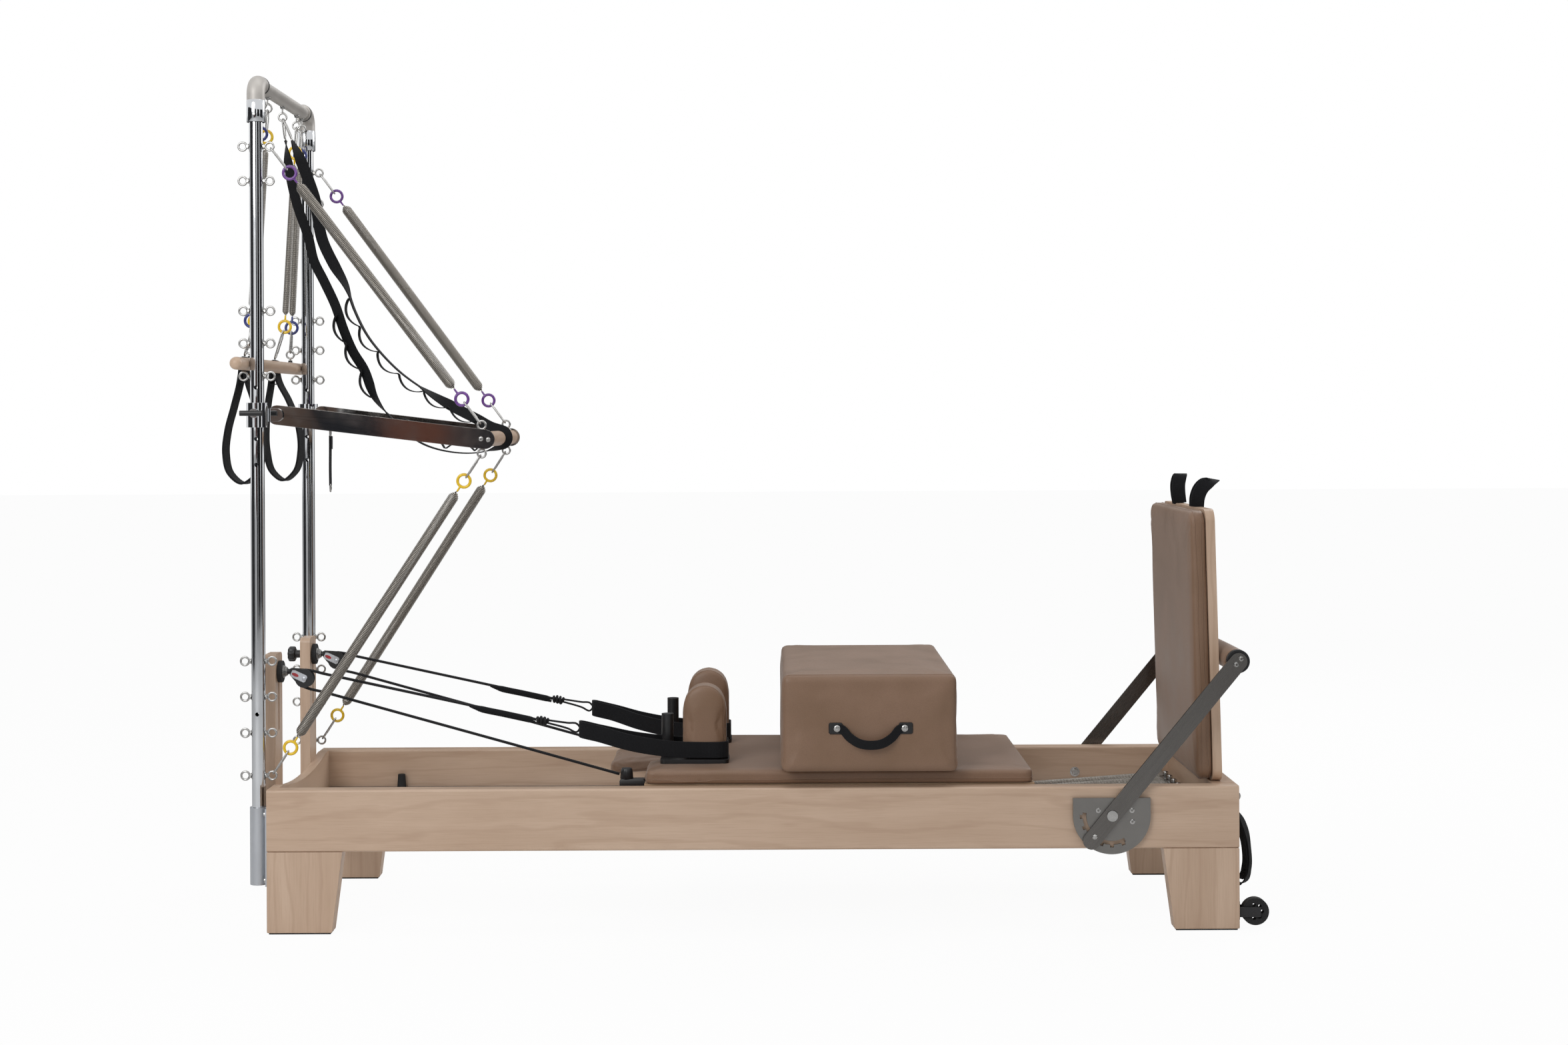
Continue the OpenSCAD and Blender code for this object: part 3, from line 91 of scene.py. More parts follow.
def smooth_path(points, step, closed=False):
    """Evenly spaced points on a smooth line through the given ones."""
    p = np.asarray(points, float)
    if closed:
        p = np.vstack([p[-1:], p, p[:2]])
    h = np.linalg.norm(np.diff(p, axis=0), axis=1)[:, None]
    slope = np.diff(p, axis=0) / h
    tangent = np.vstack([slope[:1], np.zeros((len(p) - 2, 3)), slope[-1:]])
    tangent[1:-1] = (h[1:] * slope[:-1] + h[:-1] * slope[1:]) / (h[1:] + h[:-1])
    dense = []
    for i in range(1, len(p) - 2) if closed else range(len(p) - 1):
        t = np.linspace(0, 1, 12, endpoint=False)[:, None]
        dense.append(
            (2 * t**3 - 3 * t**2 + 1) * p[i] + (t**3 - 2 * t**2 + t) * h[i] * tangent[i]
            + (3 * t**2 - 2 * t**3) * p[i + 1] + (t**3 - t**2) * h[i] * tangent[i + 1]
        )
    dense = np.vstack(dense + [dense[0][:1] if closed else p[-1:]])
    along = lengths(dense)
    count = max(3, round(along[-1] / step) + 1)
    want = np.linspace(0, along[-1], count, endpoint=not closed)
    return np.column_stack([np.interp(want, along, dense[:, k]) for k in range(3)])


def directions(path, closed):
    ahead = np.roll(path, -1, 0) - np.roll(path, 1, 0) if closed else np.gradient(path, axis=0)
    return ahead / np.linalg.norm(ahead, axis=1)[:, None]


def sweep(path, section, guide=None, closed=False, scale=1.0):
    """A section carried along a path, with its second axis near the guide, or untwisted."""
    path, section = np.asarray(path, float), np.asarray(section, float)
    n, k = len(path), len(section)
    ahead = directions(path, closed)
    if guide is None:
        up = unit(np.cross(ahead[0], [0.31, 0.92, 0.17]))
        ups = []
        for a in ahead:
            up = unit(up - a * (up @ a))
            ups.append(up)
        ups = np.array(ups)
    else:
        side = np.cross(ahead, np.broadcast_to(guide, path.shape))
        side /= np.linalg.norm(side, axis=1)[:, None]
        ups = np.cross(side, ahead)
    side = np.cross(ahead, ups)
    size = np.broadcast_to(np.asarray(scale, float).reshape(-1, 1, 1), (n, 1, 1))
    points = path[:, None] + size * (
        side[:, None] * section[None, :, :1] + ups[:, None] * section[None, :, 1:]
    )
    around = lengths(np.vstack([section, section[:1]]))
    along = lengths(np.vstack([path, path[:1]]))
    faces, places = [], []
    for i in range(n if closed else n - 1):
        j = (i + 1) % n
        for m in range(k):
            o = (m + 1) % k
            faces.append((i * k + m, i * k + o, j * k + o, j * k + m))
            u0, u1, v0, v1 = around[m], around[m + 1], along[i], along[i + 1]
            places.append(((u0, v0), (u1, v0), (u1, v1), (u0, v1)))
    if not closed:
        for row, flip in ((0, True), (n - 1, False)):
            face = [row * k + m for m in range(k)]
            faces.append(tuple(face[::-1] if flip else face))
            places.append([(0, 0)] * k)
    return points.reshape(-1, 3), faces, places


def round_section(r, sides):
    turn = np.arange(sides) * 2 * math.pi / sides
    return r * np.column_stack([np.cos(turn), np.sin(turn)])


def band_section(thick, width, edge=0.8):
    """Webbing cut across: thin, wide, and a little rounded at its edges."""
    t, w = thick / 2, width / 2
    corners = [(t, w - edge), (t - edge, w), (edge - t, w), (-t, w - edge)]
    corners += [(-x, -y) for x, y in corners]
    return np.array(corners)


def tube(path, r, sides=10, closed=False):
    return sweep(path, round_section(r, sides), None, closed)


def hoop(centre, axis, r, wire, steps=32, sides=10):
    """A ring of round wire about an axis."""
    axis = unit(axis)
    a = unit(np.cross(axis, [0.3, 0.5, 0.8]))
    b = np.cross(axis, a)
    turn = np.arange(steps)[:, None] * 2 * math.pi / steps
    path = np.asarray(centre) + r * (np.cos(turn) * a + np.sin(turn) * b)
    return sweep(path, round_section(wire / 2, sides), axis, True)


def lathe(profile, base, axis, steps=24, lobes=0, depth=0.0):
    """A turned shape: (radius, height) pairs about an axis. Lobes flute its outside."""
    axis = unit(axis)
    a = unit(np.cross(axis, [0.3, 0.5, 0.8]))
    b = np.cross(axis, a)
    points, rings = [], []
    for r, h in profile:
        first = len(points)
        if r < 1e-9:
            points.append(np.asarray(base) + axis * h)
            rings.append([first])
            continue
        for k in range(steps):
            t = 2 * math.pi * k / steps
            q = r * (1 - depth * (0.5 + 0.5 * math.cos(lobes * t)))
            points.append(np.asarray(base) + axis * h + q * (math.cos(t) * a + math.sin(t) * b))
        rings.append(list(range(first, first + steps)))
    faces = []
    for low, high in zip(rings, rings[1:]):
        for k in range(steps):
            face = [low[k % len(low)], low[(k + 1) % len(low)]]
            face += [high[(k + 1) % len(high)], high[k % len(high)]]
            faces.append(tuple(dict.fromkeys(face)))
    for ring, flip in ((rings[0], True), (rings[-1], False)):
        if len(ring) > 1:
            faces.append(tuple(ring[::-1] if flip else ring))
    return np.array(points), faces, [[(0, 0)] * len(f) for f in faces]


def stacked(points, k):
    """A closed shape through rows of k points each."""
    rows = len(points) // k
    faces = [
        (i * k + m, i * k + (m + 1) % k, (i + 1) * k + (m + 1) % k, (i + 1) * k + m)
        for i in range(rows - 1) for m in range(k)
    ]
    faces += [tuple(range(k))[::-1], tuple(range((rows - 1) * k, rows * k))]
    return np.array(points), faces, [[(0, 0)] * len(f) for f in faces]


def plate(outline, base, normal, up, thick):
    """A flat plate with a small bevel, cut to an outline and raised along its normal."""
    normal, outline = unit(normal), np.asarray(outline, float)
    across, up = np.cross(up, normal), np.asarray(up)
    middle, points = outline.mean(0), []
    for height, shrink in ((0, 0), (thick * 0.7, 0), (thick, thick * 0.3)):
        for p in outline:
            q = p - unit(p - middle) * shrink
            points.append(base + across * q[0] + up * q[1] + normal * height)
    return stacked(points, len(outline))


def rounded_outline(w, h, r, per_corner=8):
    """Corners of a rectangle with round corners, anticlockwise."""
    places = []
    for c in range(4):
        x = (1 if c in (0, 3) else -1) * (w / 2 - r)
        y = (1 if c < 2 else -1) * (h / 2 - r)
        for k in range(per_corner):
            t = math.radians(90 * (c + k / (per_corner - 1)))
            places.append((x + r * math.cos(t), y + r * math.sin(t)))
    return np.array(places)


class Piece:
    """Shapes gathered into one object of one finish."""

    def __init__(self, name):
        self.name, self.points, self.faces, self.places, self.count = name, [], [], [], 0

    def add(self, *shapes):
        for points, faces, places in shapes:
            self.points.append(points)
            self.faces += [tuple(i + self.count for i in f) for f in faces]
            self.places += places
            self.count += len(points)
        return self

    def make(self, material, body=None, slot=None, replaces=(), sharp=40):
        mesh = bpy.data.meshes.new(self.name)
        mesh.from_pydata((np.vstack(self.points) * MM).tolist(), [], self.faces)
        flat = np.array([c for face in self.places for c in face]) * MM
        mesh.uv_layers.new(name="unrolled").data.foreach_set("uv", flat.astype(np.float32).ravel())
        shape = bmesh.new()
        shape.from_mesh(mesh)
        bmesh.ops.recalc_face_normals(shape, faces=shape.faces)
        shape.to_mesh(mesh)
        shape.free()
        obj = bpy.data.objects.new(self.name, mesh)
        scene.collection.objects.link(obj)
        return settle(obj, material, body, replaces, sharp)


def settle(obj, material, body=None, replaces=(), sharp=40):
    """Gives a piece its finish, hangs it from the body that it rides on, and hides the CAD parts
    that it stands in for.
    """
    obj.data.materials.clear()
    obj.data.materials.append(material)
    obj.data.polygons.foreach_set("use_smooth", [True] * len(obj.data.polygons))
    if sharp:
        obj.data.set_sharp_from_angle(angle=math.radians(sharp))
    if body:
        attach(obj, body)
    if replaces:
        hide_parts(*replaces)
    return obj


# Finishes
def hue(code):
    """sRGB hex to linear colour."""
    rgb = [int(code[i:i + 2], 16) / 255 for i in (1, 3, 5)]
    return tuple(c / 12.92 if c <= 0.04045 else ((c + 0.055) / 1.055) ** 2.4 for c in rgb) + (1.0,)


def add(tree, kind, settings=None, inputs=None):
    """Adds a node with its settings, and its inputs' values or what they are linked to."""
    node = tree.nodes.new(kind)
    for key, value in (settings or {}).items():
        setattr(node, key, value)
    for key, value in (inputs or {}).items():
        if isinstance(value, bpy.types.NodeSocket):
            tree.links.new(value, node.inputs[key])
        else:
            node.inputs[key].default_value = value
    return node


def surface(name, code, values):
    """A material of one colour, with plain values on its shader."""
    material = bpy.data.materials.new(name)
    material.use_nodes = True
    tree = material.node_tree
    shader = tree.nodes["Principled BSDF"]
    shader.inputs["Base Color"].default_value = hue(code)
    for key, value in values.items():
        shader.inputs[key].default_value = value
    return material, tree, shader


def place(tree, source):
    """A point's own coordinates in metres: on the object, or unrolled along a strap."""
    return add(tree, "ShaderNodeTexCoord").outputs[source]


def mapped(tree, source, **inputs):
    """A point's coordinates, turned or scaled."""
    inputs["Vector"] = place(tree, source)
    return add(tree, "ShaderNodeMapping", {}, inputs).outputs[0]


def maths(tree, operation, a, b):
    return add(tree, "ShaderNodeMath", {"operation": operation}, {0: a, 1: b}).outputs[0]


def speckle(tree, size, stretch=(1, 1, 1), turn=(0, 0, 0), detail=3.0):
    """Noise with spots `size` metres wide, drawn out along an axis by its stretch."""
    drawn = add(tree, "ShaderNodeMapping", {}, {
        "Vector": mapped(tree, "Object", Rotation=turn), "Scale": tuple(1 / s for s in stretch),
    })
    noise = add(tree, "ShaderNodeTexNoise", {}, {
        "Vector": drawn.outputs[0], "Scale": 1 / size, "Detail": detail, "Roughness": 0.55,
    })
    return noise.outputs["Fac"]


def ranged(tree, value, low, high, start, end):
    """A pattern's values from low to high, spread from start to end."""
    return add(tree, "ShaderNodeMapRange", {}, {
        "Value": value, "From Min": low, "From Max": high, "To Min": start, "To Max": end,
    }).outputs[0]


def shaded(tree, factor, dark, light):
    """A colour between two, by a factor. Each is a hex code or another colour."""
    ends = [hue(c) if isinstance(c, str) else c for c in (dark, light)]
    return add(tree, "ShaderNodeMix", {"data_type": "RGBA"}, {
        0: factor, 6: ends[0], 7: ends[1],
    }).outputs[2]


def wired(tree, shader, colour, rough=None):
    """Gives the shader its pattern of colour, and one of roughness."""
    tree.links.new(colour, shader.inputs["Base Color"])
    if rough:
        tree.links.new(rough, shader.inputs["Roughness"])


def embossed(tree, shader, height, depth, strength):
    """Raises a pattern by `depth` metres."""
    bump = add(tree, "ShaderNodeBump", {}, {
        "Height": height, "Distance": depth, "Strength": strength,
    })
    tree.links.new(bump.outputs[0], shader.inputs["Normal"])


def varnished_maple(name, grain):
    """Hard maple, planed and sealed with satin varnish: pale, fine fibres along the grain and
    faint wavy figure. Fibres are 0.4 mm wide and are drawn at 1.6 mm so that they show."""
    material, tree, shader = surface(name, "#C8AD96", {
        "Roughness": 0.42, "Coat Weight": 0.18, "Coat Roughness": 0.3, "IOR": 1.5,
    })
    long, broad = [[drawn if axis == grain else 1.0 for axis in range(3)] for drawn in (45.0, 7.0)]
    fibres = speckle(tree, 1.6 * MM, long, detail=2.0)
    figure = speckle(tree, 55 * MM, broad, detail=4.0)
    boards = speckle(tree, 260 * MM, broad, detail=1.0)
    squeezed = mapped(tree, "Object", Scale=tuple(1 / b for b in broad))
    rings = add(tree, "ShaderNodeTexWave", {"wave_type": "RINGS", "rings_direction": "SPHERICAL"}, {
        "Vector": squeezed, "Scale": 9.0, "Distortion": 9.0,
        "Detail": 3.0, "Detail Scale": 1.6,
    })
    ground = shaded(tree, ranged(tree, figure, 0.32, 0.7, 0, 1), "#BB9F87", "#CDB39C")
    ground = shaded(tree, ranged(tree, boards, 0.35, 0.65, 0, 0.4), ground, "#C2A68F")
    lined = shaded(tree, ranged(tree, rings.outputs["Fac"], 0.8, 1.0, 0, 0.3), ground, "#A98A72")
    grained = shaded(tree, ranged(tree, fibres, 0.5, 0.8, 0, 0.35), lined, "#A6876F")
    wired(tree, shader, grained, ranged(tree, figure, 0.3, 0.7, 0.36, 0.5))
    embossed(tree, shader, fibres, 0.12 * MM, 0.35)
    return material


def leatherette():
    """Tan PVC leatherette, embossed with a fine pebble and stretched over foam: soft wide
    highlights. Pebbles are 1 mm across and are drawn at 2 mm so that they show."""
    material, tree, shader = surface("tan_leatherette", "#82664F", {
        "Roughness": 0.46, "Sheen Weight": 0.12, "Sheen Roughness": 0.5, "IOR": 1.48,
    })
    pebble = add(tree, "ShaderNodeTexVoronoi", {"feature": "SMOOTH_F1"}, {
        "Vector": place(tree, "Object"), "Scale": 1 / (2 * MM), "Smoothness": 0.6,
    })
    fine = speckle(tree, 0.9 * MM)
    cloud = speckle(tree, 120 * MM, detail=2.0)
    tone = shaded(tree, ranged(tree, cloud, 0.3, 0.7, 0, 1), "#7C6049", "#876A55")
    # Painted shade: the pebbles' hollows, the low parts of the bump, are darkened
    tone = shaded(tree, ranged(tree, pebble.outputs["Distance"], 0.1, 0.7, 0, 0.3), tone, "#6F5443")
    wired(tree, shader, tone, ranged(tree, cloud, 0.3, 0.7, 0.42, 0.54))
    height = maths(tree, "SUBTRACT", fine, pebble.outputs["Distance"])
    embossed(tree, shader, height, 0.16 * MM, 0.5)
    return material


def polished(name, code, rough, smudge=60 * MM):
    """Steel, polished or plated: sharp reflections, a little dulled where hands have been."""
    material, tree, shader = surface(name, code, {"Metallic": 1.0, "Roughness": rough})
    marks = speckle(tree, smudge, detail=5.0)
    dulled = ranged(tree, marks, 0.35, 0.75, rough * 0.7, rough * 1.7)
    wired(tree, shader, shaded(tree, ranged(tree, marks, 0.4, 0.8, 0, 0.12), code, "#6E7073"),
          dulled)
    return material


def brushed(name, code, rough, long, turn=(0, 0, 0)):
    """Metal brushed one way: fine lines, and highlights drawn out across them. Brush lines are
    0.1 mm apart and are drawn at 0.9 mm so that they show."""
    material, tree, shader = surface(name, code, {"Metallic": 1.0, "Roughness": rough})
    lines = speckle(tree, 0.9 * MM, long, turn, 2.0)
    marks = speckle(tree, 90 * MM, detail=4.0)
    scored = ranged(tree, lines, 0.3, 0.7, rough * 0.75, rough * 1.3)
    streaks = shaded(tree, ranged(tree, lines, 0.35, 0.75, 0, 0.25), code, "#4E4D4D")
    wired(tree, shader, shaded(tree, ranged(tree, marks, 0.45, 0.75, 0, 0.2), streaks, "#5A5654"),
          scored)
    embossed(tree, shader, lines, 0.05 * MM, 0.25)
    return material


def satin(name, code, metallic, rough, grit=1.4 * MM, depth=0.08 * MM):
    """Paint, powder coat, anodising or moulded plastic: an even colour, a fine orange peel and
    a slight cloudiness. The peel is 0.3 to 1 mm across and is drawn at 1.4 mm."""
    material, tree, shader = surface(name, code, {"Metallic": metallic, "Roughness": rough})
    peel = speckle(tree, grit, detail=2.0)
    cloud = speckle(tree, 70 * MM, detail=3.0)
    uneven = ranged(tree, cloud, 0.3, 0.7, rough * 0.85, rough * 1.15)
    worn = tuple(min(1.0, c * 1.25 + 0.004) for c in hue(code)[:3]) + (1.0,)
    wired(tree, shader, shaded(tree, ranged(tree, cloud, 0.4, 0.75, 0, 0.5), code, worn), uneven)
    embossed(tree, shader, peel, depth, 0.3)
    return material


def woven(name, code, light, thread):
    """Black webbing: crossing threads painted lighter in rows as a painted highlight, with painted
    shade in the gaps between them, and a matt nap. Threads are 0.6 mm apart and are drawn wider so
    that they show."""
    material, tree, shader = surface(name, code, {
        "Roughness": 0.82, "Specular IOR Level": 0.22, "Sheen Weight": 0.08, "Sheen Roughness": 0.4,
    })
    rows = mapped(tree, "UV", Scale=(1 / thread, 0.5 / thread, 1))
    weave = add(tree, "ShaderNodeTexBrick", {"offset": 0.5}, {
        "Vector": rows, "Color1": (1, 1, 1, 1), "Color2": (0.75, 0.75, 0.75, 1),
        "Mortar": (0, 0, 0, 1), "Scale": 1.0, "Mortar Size": 0.16, "Mortar Smooth": 0.9,
        "Brick Width": 1.0, "Row Height": 1.0,
    })
    nap = speckle(tree, 6 * MM)
    # Painted highlight on the threads and painted shade in the gaps between them
    tone = shaded(tree, weave.outputs["Color"], code, light)
    wired(tree, shader, shaded(tree, ranged(tree, nap, 0.4, 0.8, 0, 0.4), tone, light))
    embossed(tree, shader, weave.outputs["Color"], 0.3 * MM, 0.6)
    return material


def braided(name, code, light, lay):
    """Black braided cord: strands that cross on a slant, `lay` metres apart, with a painted
    highlight on their raised crowns and painted shade in the grooves.
    """
    material, tree, shader = surface(name, code, {
        "Roughness": 0.7, "Specular IOR Level": 0.25, "Sheen Weight": 0.06,
    })
    crossed = []
    for slant in (45, -45):
        strands = add(tree, "ShaderNodeTexWave", {"bands_direction": "X"}, {
            "Vector": mapped(tree, "UV", Rotation=(0, 0, math.radians(slant))),
            "Scale": 0.16 / lay,
        })
        crossed.append(strands.outputs["Fac"])
    height = maths(tree, "MAXIMUM", *crossed)
    # Painted highlight on the raised strands and painted shade in the grooves between them
    wired(tree, shader, shaded(tree, height, code, light))
    embossed(tree, shader, height, 0.4 * MM, 0.6)
    return material


def enamelled(name, code, deep):
    """Rings dipped in coloured vinyl: glossy, a little darker where the coat is thick."""
    material, tree, shader = surface(name, code, {
        "Roughness": 0.32, "Coat Weight": 0.4, "Coat Roughness": 0.12,
    })
    cloud = speckle(tree, 9 * MM, detail=2.0)
    wired(tree, shader, shaded(tree, ranged(tree, cloud, 0.35, 0.7, 0, 1), deep, code))
    embossed(tree, shader, cloud, 0.15 * MM, 0.3)
    return material


def plywood():
    """Birch plywood under the carriage: plies 1.4 mm thick show as stripes at its edges, drawn
    at 2.6 mm so that they show."""
    material, tree, shader = surface("birch_plywood", "#B99A7C", {"Roughness": 0.6})
    plies = add(tree, "ShaderNodeTexWave", {"bands_direction": "Z"}, {
        "Vector": place(tree, "Object"), "Scale": 0.16 / (2.6 * MM), "Distortion": 0.6,
    })
    grain = speckle(tree, 2 * MM, (30, 1, 1), detail=3.0)
    tone = shaded(tree, plies.outputs["Fac"], "#A98A6D", "#C2A687")
    wired(tree, shader, shaded(tree, ranged(tree, grain, 0.45, 0.8, 0, 0.4), tone, "#94755A"))
    embossed(tree, shader, grain, 0.1 * MM, 0.4)
    return material


maple_long = varnished_maple("varnished_maple_along_rail", 0)
maple_cross = varnished_maple("varnished_maple_across", 1)
maple_upright = varnished_maple("varnished_maple_upright", 2)
birch = plywood()
leather = leatherette()
chrome = polished("polished_chrome_tube", "#CDCFD2", 0.07)
zinc = polished("bright_zinc_hardware", "#B4B3B1", 0.24, 12 * MM)
spring_wire = polished("oiled_spring_wire", "#9A958E", 0.38, 30 * MM)
flat_bar = brushed("brushed_steel_bar", "#716E6B", 0.26, (160, 1, 1), (0, math.radians(50.4), 0))
push_steel = polished("polished_steel_arm", "#B9B5B1", 0.08)
gear_steel = satin("bead_blasted_steel_plate", "#7E7C79", 0.75, 0.42)
aluminium = satin("anodised_aluminium_socket", "#B9BCC1", 0.7, 0.4)
cast_elbow = satin("satin_cast_elbow", "#B4B0AB", 0.3, 0.44)
rail_metal = brushed("extruded_aluminium_track", "#A3A5A8", 0.35, (200, 1, 1))
abs_black = satin("moulded_black_abs", "#121214", 0.0, 0.4)
powder_black = satin("black_powder_coat", "#202022", 0.1, 0.48, 1.2 * MM, 0.12 * MM)
rubber = satin("black_rubber", "#1A1A1B", 0.0, 0.78, 2 * MM, 0.15 * MM)
wheel_grey = satin("grey_polyurethane_wheel", "#55575A", 0.0, 0.5)
# The lighter second colours of the webbing and the cord are their painted highlight (in the webbing
# also the nap's random tone)
webbing = woven("black_nylon_webbing", "#0A0A0C", "#17181B", 1.8 * MM)
braid = braided("black_braided_cord", "#09090B", "#1A1A1D", 2.2 * MM)
purple = enamelled("purple_vinyl_ring", "#743F98", "#5E2D80")
yellow = enamelled("yellow_vinyl_ring", "#F2CE12", "#E3B50A")
blue = enamelled("blue_vinyl_ring", "#2C3A8A", "#1F2A6B")
red_enamel = enamelled("red_enamel_inlay", "#B3202B", "#8F151F")

# Finishes of the CAD nodes that show as they are: finish, and the width of the eased edge in mm
SHOWN = {
    "side_rails": (maple_long, 0), "legs": (maple_upright, 2), "end_boards": (maple_cross, 1.5),
    "pulley_risers": (maple_upright, 1.5), "jumpboard_panel": (maple_upright, 2),
    "push_handle": (maple_cross, 1.5), "roll_down_bar": (maple_cross, 0),
    "carriage_frame": (birch, 0.8), "tracks": (rail_metal, 0.8), "foot_pads": (rubber, 0.8),
    "post_sockets": (aluminium, 0.8), "frame_screws": (zinc, 0.5), "posts": (chrome, 0),
    "elbows": (cast_elbow, 0.8), "crossbar": (cast_elbow, 0), "pulley_blocks": (abs_black, 0.5),
    "clamp_discs": (rubber, 1), "track_stops": (rubber, 1), "gear_plates": (gear_steel, 0.5),
    "spring_bar": (gear_steel, 0.8), "push_collars": (chrome, 0.8),
    "wheel_brackets": (powder_black, 0.6), "shoulder_bases": (abs_black, 1),
    "head_wheels": (wheel_grey, 1), "foot_wheels": (wheel_grey, 1),
    "headrest_hinge": (zinc, 0.3), "footbar_pivots": (zinc, 0.6), "footbar_arms": (flat_bar, 0.6),
    "footbar_core": (zinc, 0.4), "footbar_caps": (abs_black, 1.2), "push_arms": (push_steel, 0.6),
    "near_lock_pin": (abs_black, 1), "far_lock_pin": (abs_black, 1), "sheaves": (abs_black, 0.4),
    "transport_wheels": (rubber, 1),
}
for node, (material, ease) in SHOWN.items():
    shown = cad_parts[node]
    bpy.context.view_layer.objects.active = shown
    bpy.ops.mesh.customdata_custom_splitnormals_clear()
    settle(shown, material, sharp=0)
    joined = shown.modifiers.new("joined_edges", "WELD")
    joined.merge_threshold = 0.01 * MM
    if ease:
        eased = shown.modifiers.new("eased_edges", "BEVEL")
        eased.width = ease * MM
        eased.segments = 2
        eased.angle_limit = math.radians(38)
        eased.use_clamp_overlap = True
    shown.modifiers.new("flat_faces", "WEIGHTED_NORMAL").keep_sharp = False

# Places that the drawing and this scene share, in millimetres
POST_X, POST_SIDE, POST_R = -1204.0, 290.0, 16.85
EYE_LEVELS = (377, 481, 569, 656, 1351, 1431, 1510, 1827, 1911)
EYE_R, EYE_WIRE, EYE_REACH = 10.0, 5.2, 33.0
RING_R, RING_WIRE = 15.6, 7.2
PUSH_SPRING, ARM_SPRING = (13.5, 3.4, 17), (9, 2.6, 14)  # coil radius, wire, stem
CROSSBAR_Z = 2066.0
CROSS_EYE_Z = 2022.0
PUSH_PIVOT = (-1161.0, 1256.0)
PUSH_BAR = (-653.0, 1194.0)
PUSH_EYE_SIDE, PUSH_EYE_REACH, PUSH_CLIP_REACH = 247.0, 35.0, 80.0
ROLL_X, ROLL_Z, ROLL_EYE_Z = -1236.75, 1381.0, 1417.5
BLUE_SIDE, YELLOW_SIDE, ARM_CLIP_REACH = 225.0, 165.0, 72.0
HAND_RING = (-1237.75, 1490.0)
PULLEY_SIDE, CLAMP_Z, SHEAVE = 200.0, 620.0, (-1110, 603)


def eyebolt(foot, centre, nut_reach=4.5):
    """An eye of round wire on a threaded shank, with a washer and a nut."""
    foot, centre = np.asarray(foot), np.asarray(centre)
    d = unit(centre - foot)
    shank = np.linalg.norm(centre - foot) - EYE_R
    return [
        hoop(centre, (0, 1, 0) if abs(d[1]) < 0.9 else (1, 0, 0), EYE_R, EYE_WIRE),
        lathe([(2.4, -2), (2.4, shank - 1), (3.2, shank)], foot, d, 12),
        lathe([(7, 0), (7, 1.2)], foot, d, 24),
        lathe([(5.2, 1.2), (5.8, 1.8), (5.8, nut_reach + 0.6), (5, nut_reach + 1.2)], foot, d, 6),
    ]


def snap_clip(a, b, wide=9.5, narrow=6.5):
    """A spring snap link of bent wire between two points: a drop shape with a sleeved gate."""
    a, b = np.asarray(a, float), np.asarray(b, float)
    d, across = unit(b - a), np.array([0.0, 1.0, 0.0])
    e = unit(across - d * (across @ d))
    start, stop = a + d * wide, b - d * narrow
    lean = math.asin((wide - narrow) / np.linalg.norm(stop - start))
    near_turn = np.linspace(math.pi / 2 - lean, 1.5 * math.pi + lean, 14)
    far_turn = np.linspace(lean - math.pi / 2, math.pi / 2 - lean, 12)
    path = [start + wide * (math.cos(t) * d + math.sin(t) * e) for t in near_turn]
    path += [stop + narrow * (math.cos(t) * d + math.sin(t) * e) for t in far_turn]
    gate = [path[-1] + (path[0] - path[-1]) * t for t in (0.14, 0.2, 0.8, 0.86)]
    return [sweep(path, round_section(2.1, 10), np.cross(d, e), True), tube(gate, 2.9, 12)]


def eye_clip(eye, ring):
    """A snap link that hooks through an eyebolt and a spring's ring."""
    d, grip = unit(ring - eye), 2.6
    return snap_clip(eye + d * (EYE_R - EYE_WIRE / 2 - grip),
                     ring - d * (RING_R - RING_WIRE / 2 - grip))


def post_eye(side, x_side, z):
    return np.array([POST_X + x_side * EYE_REACH, side * POST_SIDE, z])


def push_eye(side, up):
    return np.array([PUSH_BAR[0] - 10, side * PUSH_EYE_SIDE, PUSH_BAR[1] + up * PUSH_EYE_REACH])


# Eyebolts down both posts and under the crossbar, each with its nut
bolts = Piece("eyebolts_and_clips")
for side in (-1, 1):
    for x_side in (-1, 1):
        for z in EYE_LEVELS:
            bolts.add(*eyebolt((POST_X + x_side * POST_R, side * POST_SIDE, z),
                               post_eye(side, x_side, z)))
    for up, z in ((1, EYE_LEVELS[-1]), (-1, EYE_LEVELS[0])):
        eye, far = post_eye(side, 1, z), push_eye(side, up)
        ring = eye + unit(far - eye) * PUSH_CLIP_REACH
        bolts.add(*eye_clip(eye, ring))
for y in (-BLUE_SIDE, -YELLOW_SIDE, 0, YELLOW_SIDE, BLUE_SIDE):
    bolts.add(*eyebolt((POST_X, y, CROSSBAR_Z - POST_R), (POST_X, y, CROSS_EYE_Z)))
bolts.add(*eyebolt((1175, -200, 300), (1196, -200, 300)))
bolts.make(zinc, "frame", "chrome_steel", ["eyebolts"])

# Bright sleeves where the posts enter the elbows, and a dark ring where the crossbar does: painted
# shade, a black ring put in the shaded gap at that joint
sleeves, gap_shade_rings = Piece("elbow_sleeves"), Piece("crossbar_gap_shade_rings")
for side in (-1, 1):
    sleeves.add(lathe([(22, 0), (22.5, 0.6), (22.5, 53), (22, 53.6)],
                      (POST_X, side * POST_SIDE, 1970), (0, 0, 1), 48))
    gap_shade_rings.add(lathe([(22, 0), (22.6, 0.6), (22.6, 9), (22, 9.6)],
                    (POST_X, side * 238.5, CROSSBAR_Z), (0, side, 0), 48))
sleeves.make(chrome, "frame", "chrome_steel")
gap_shade_rings.make(rubber, "frame", "black_rubber")


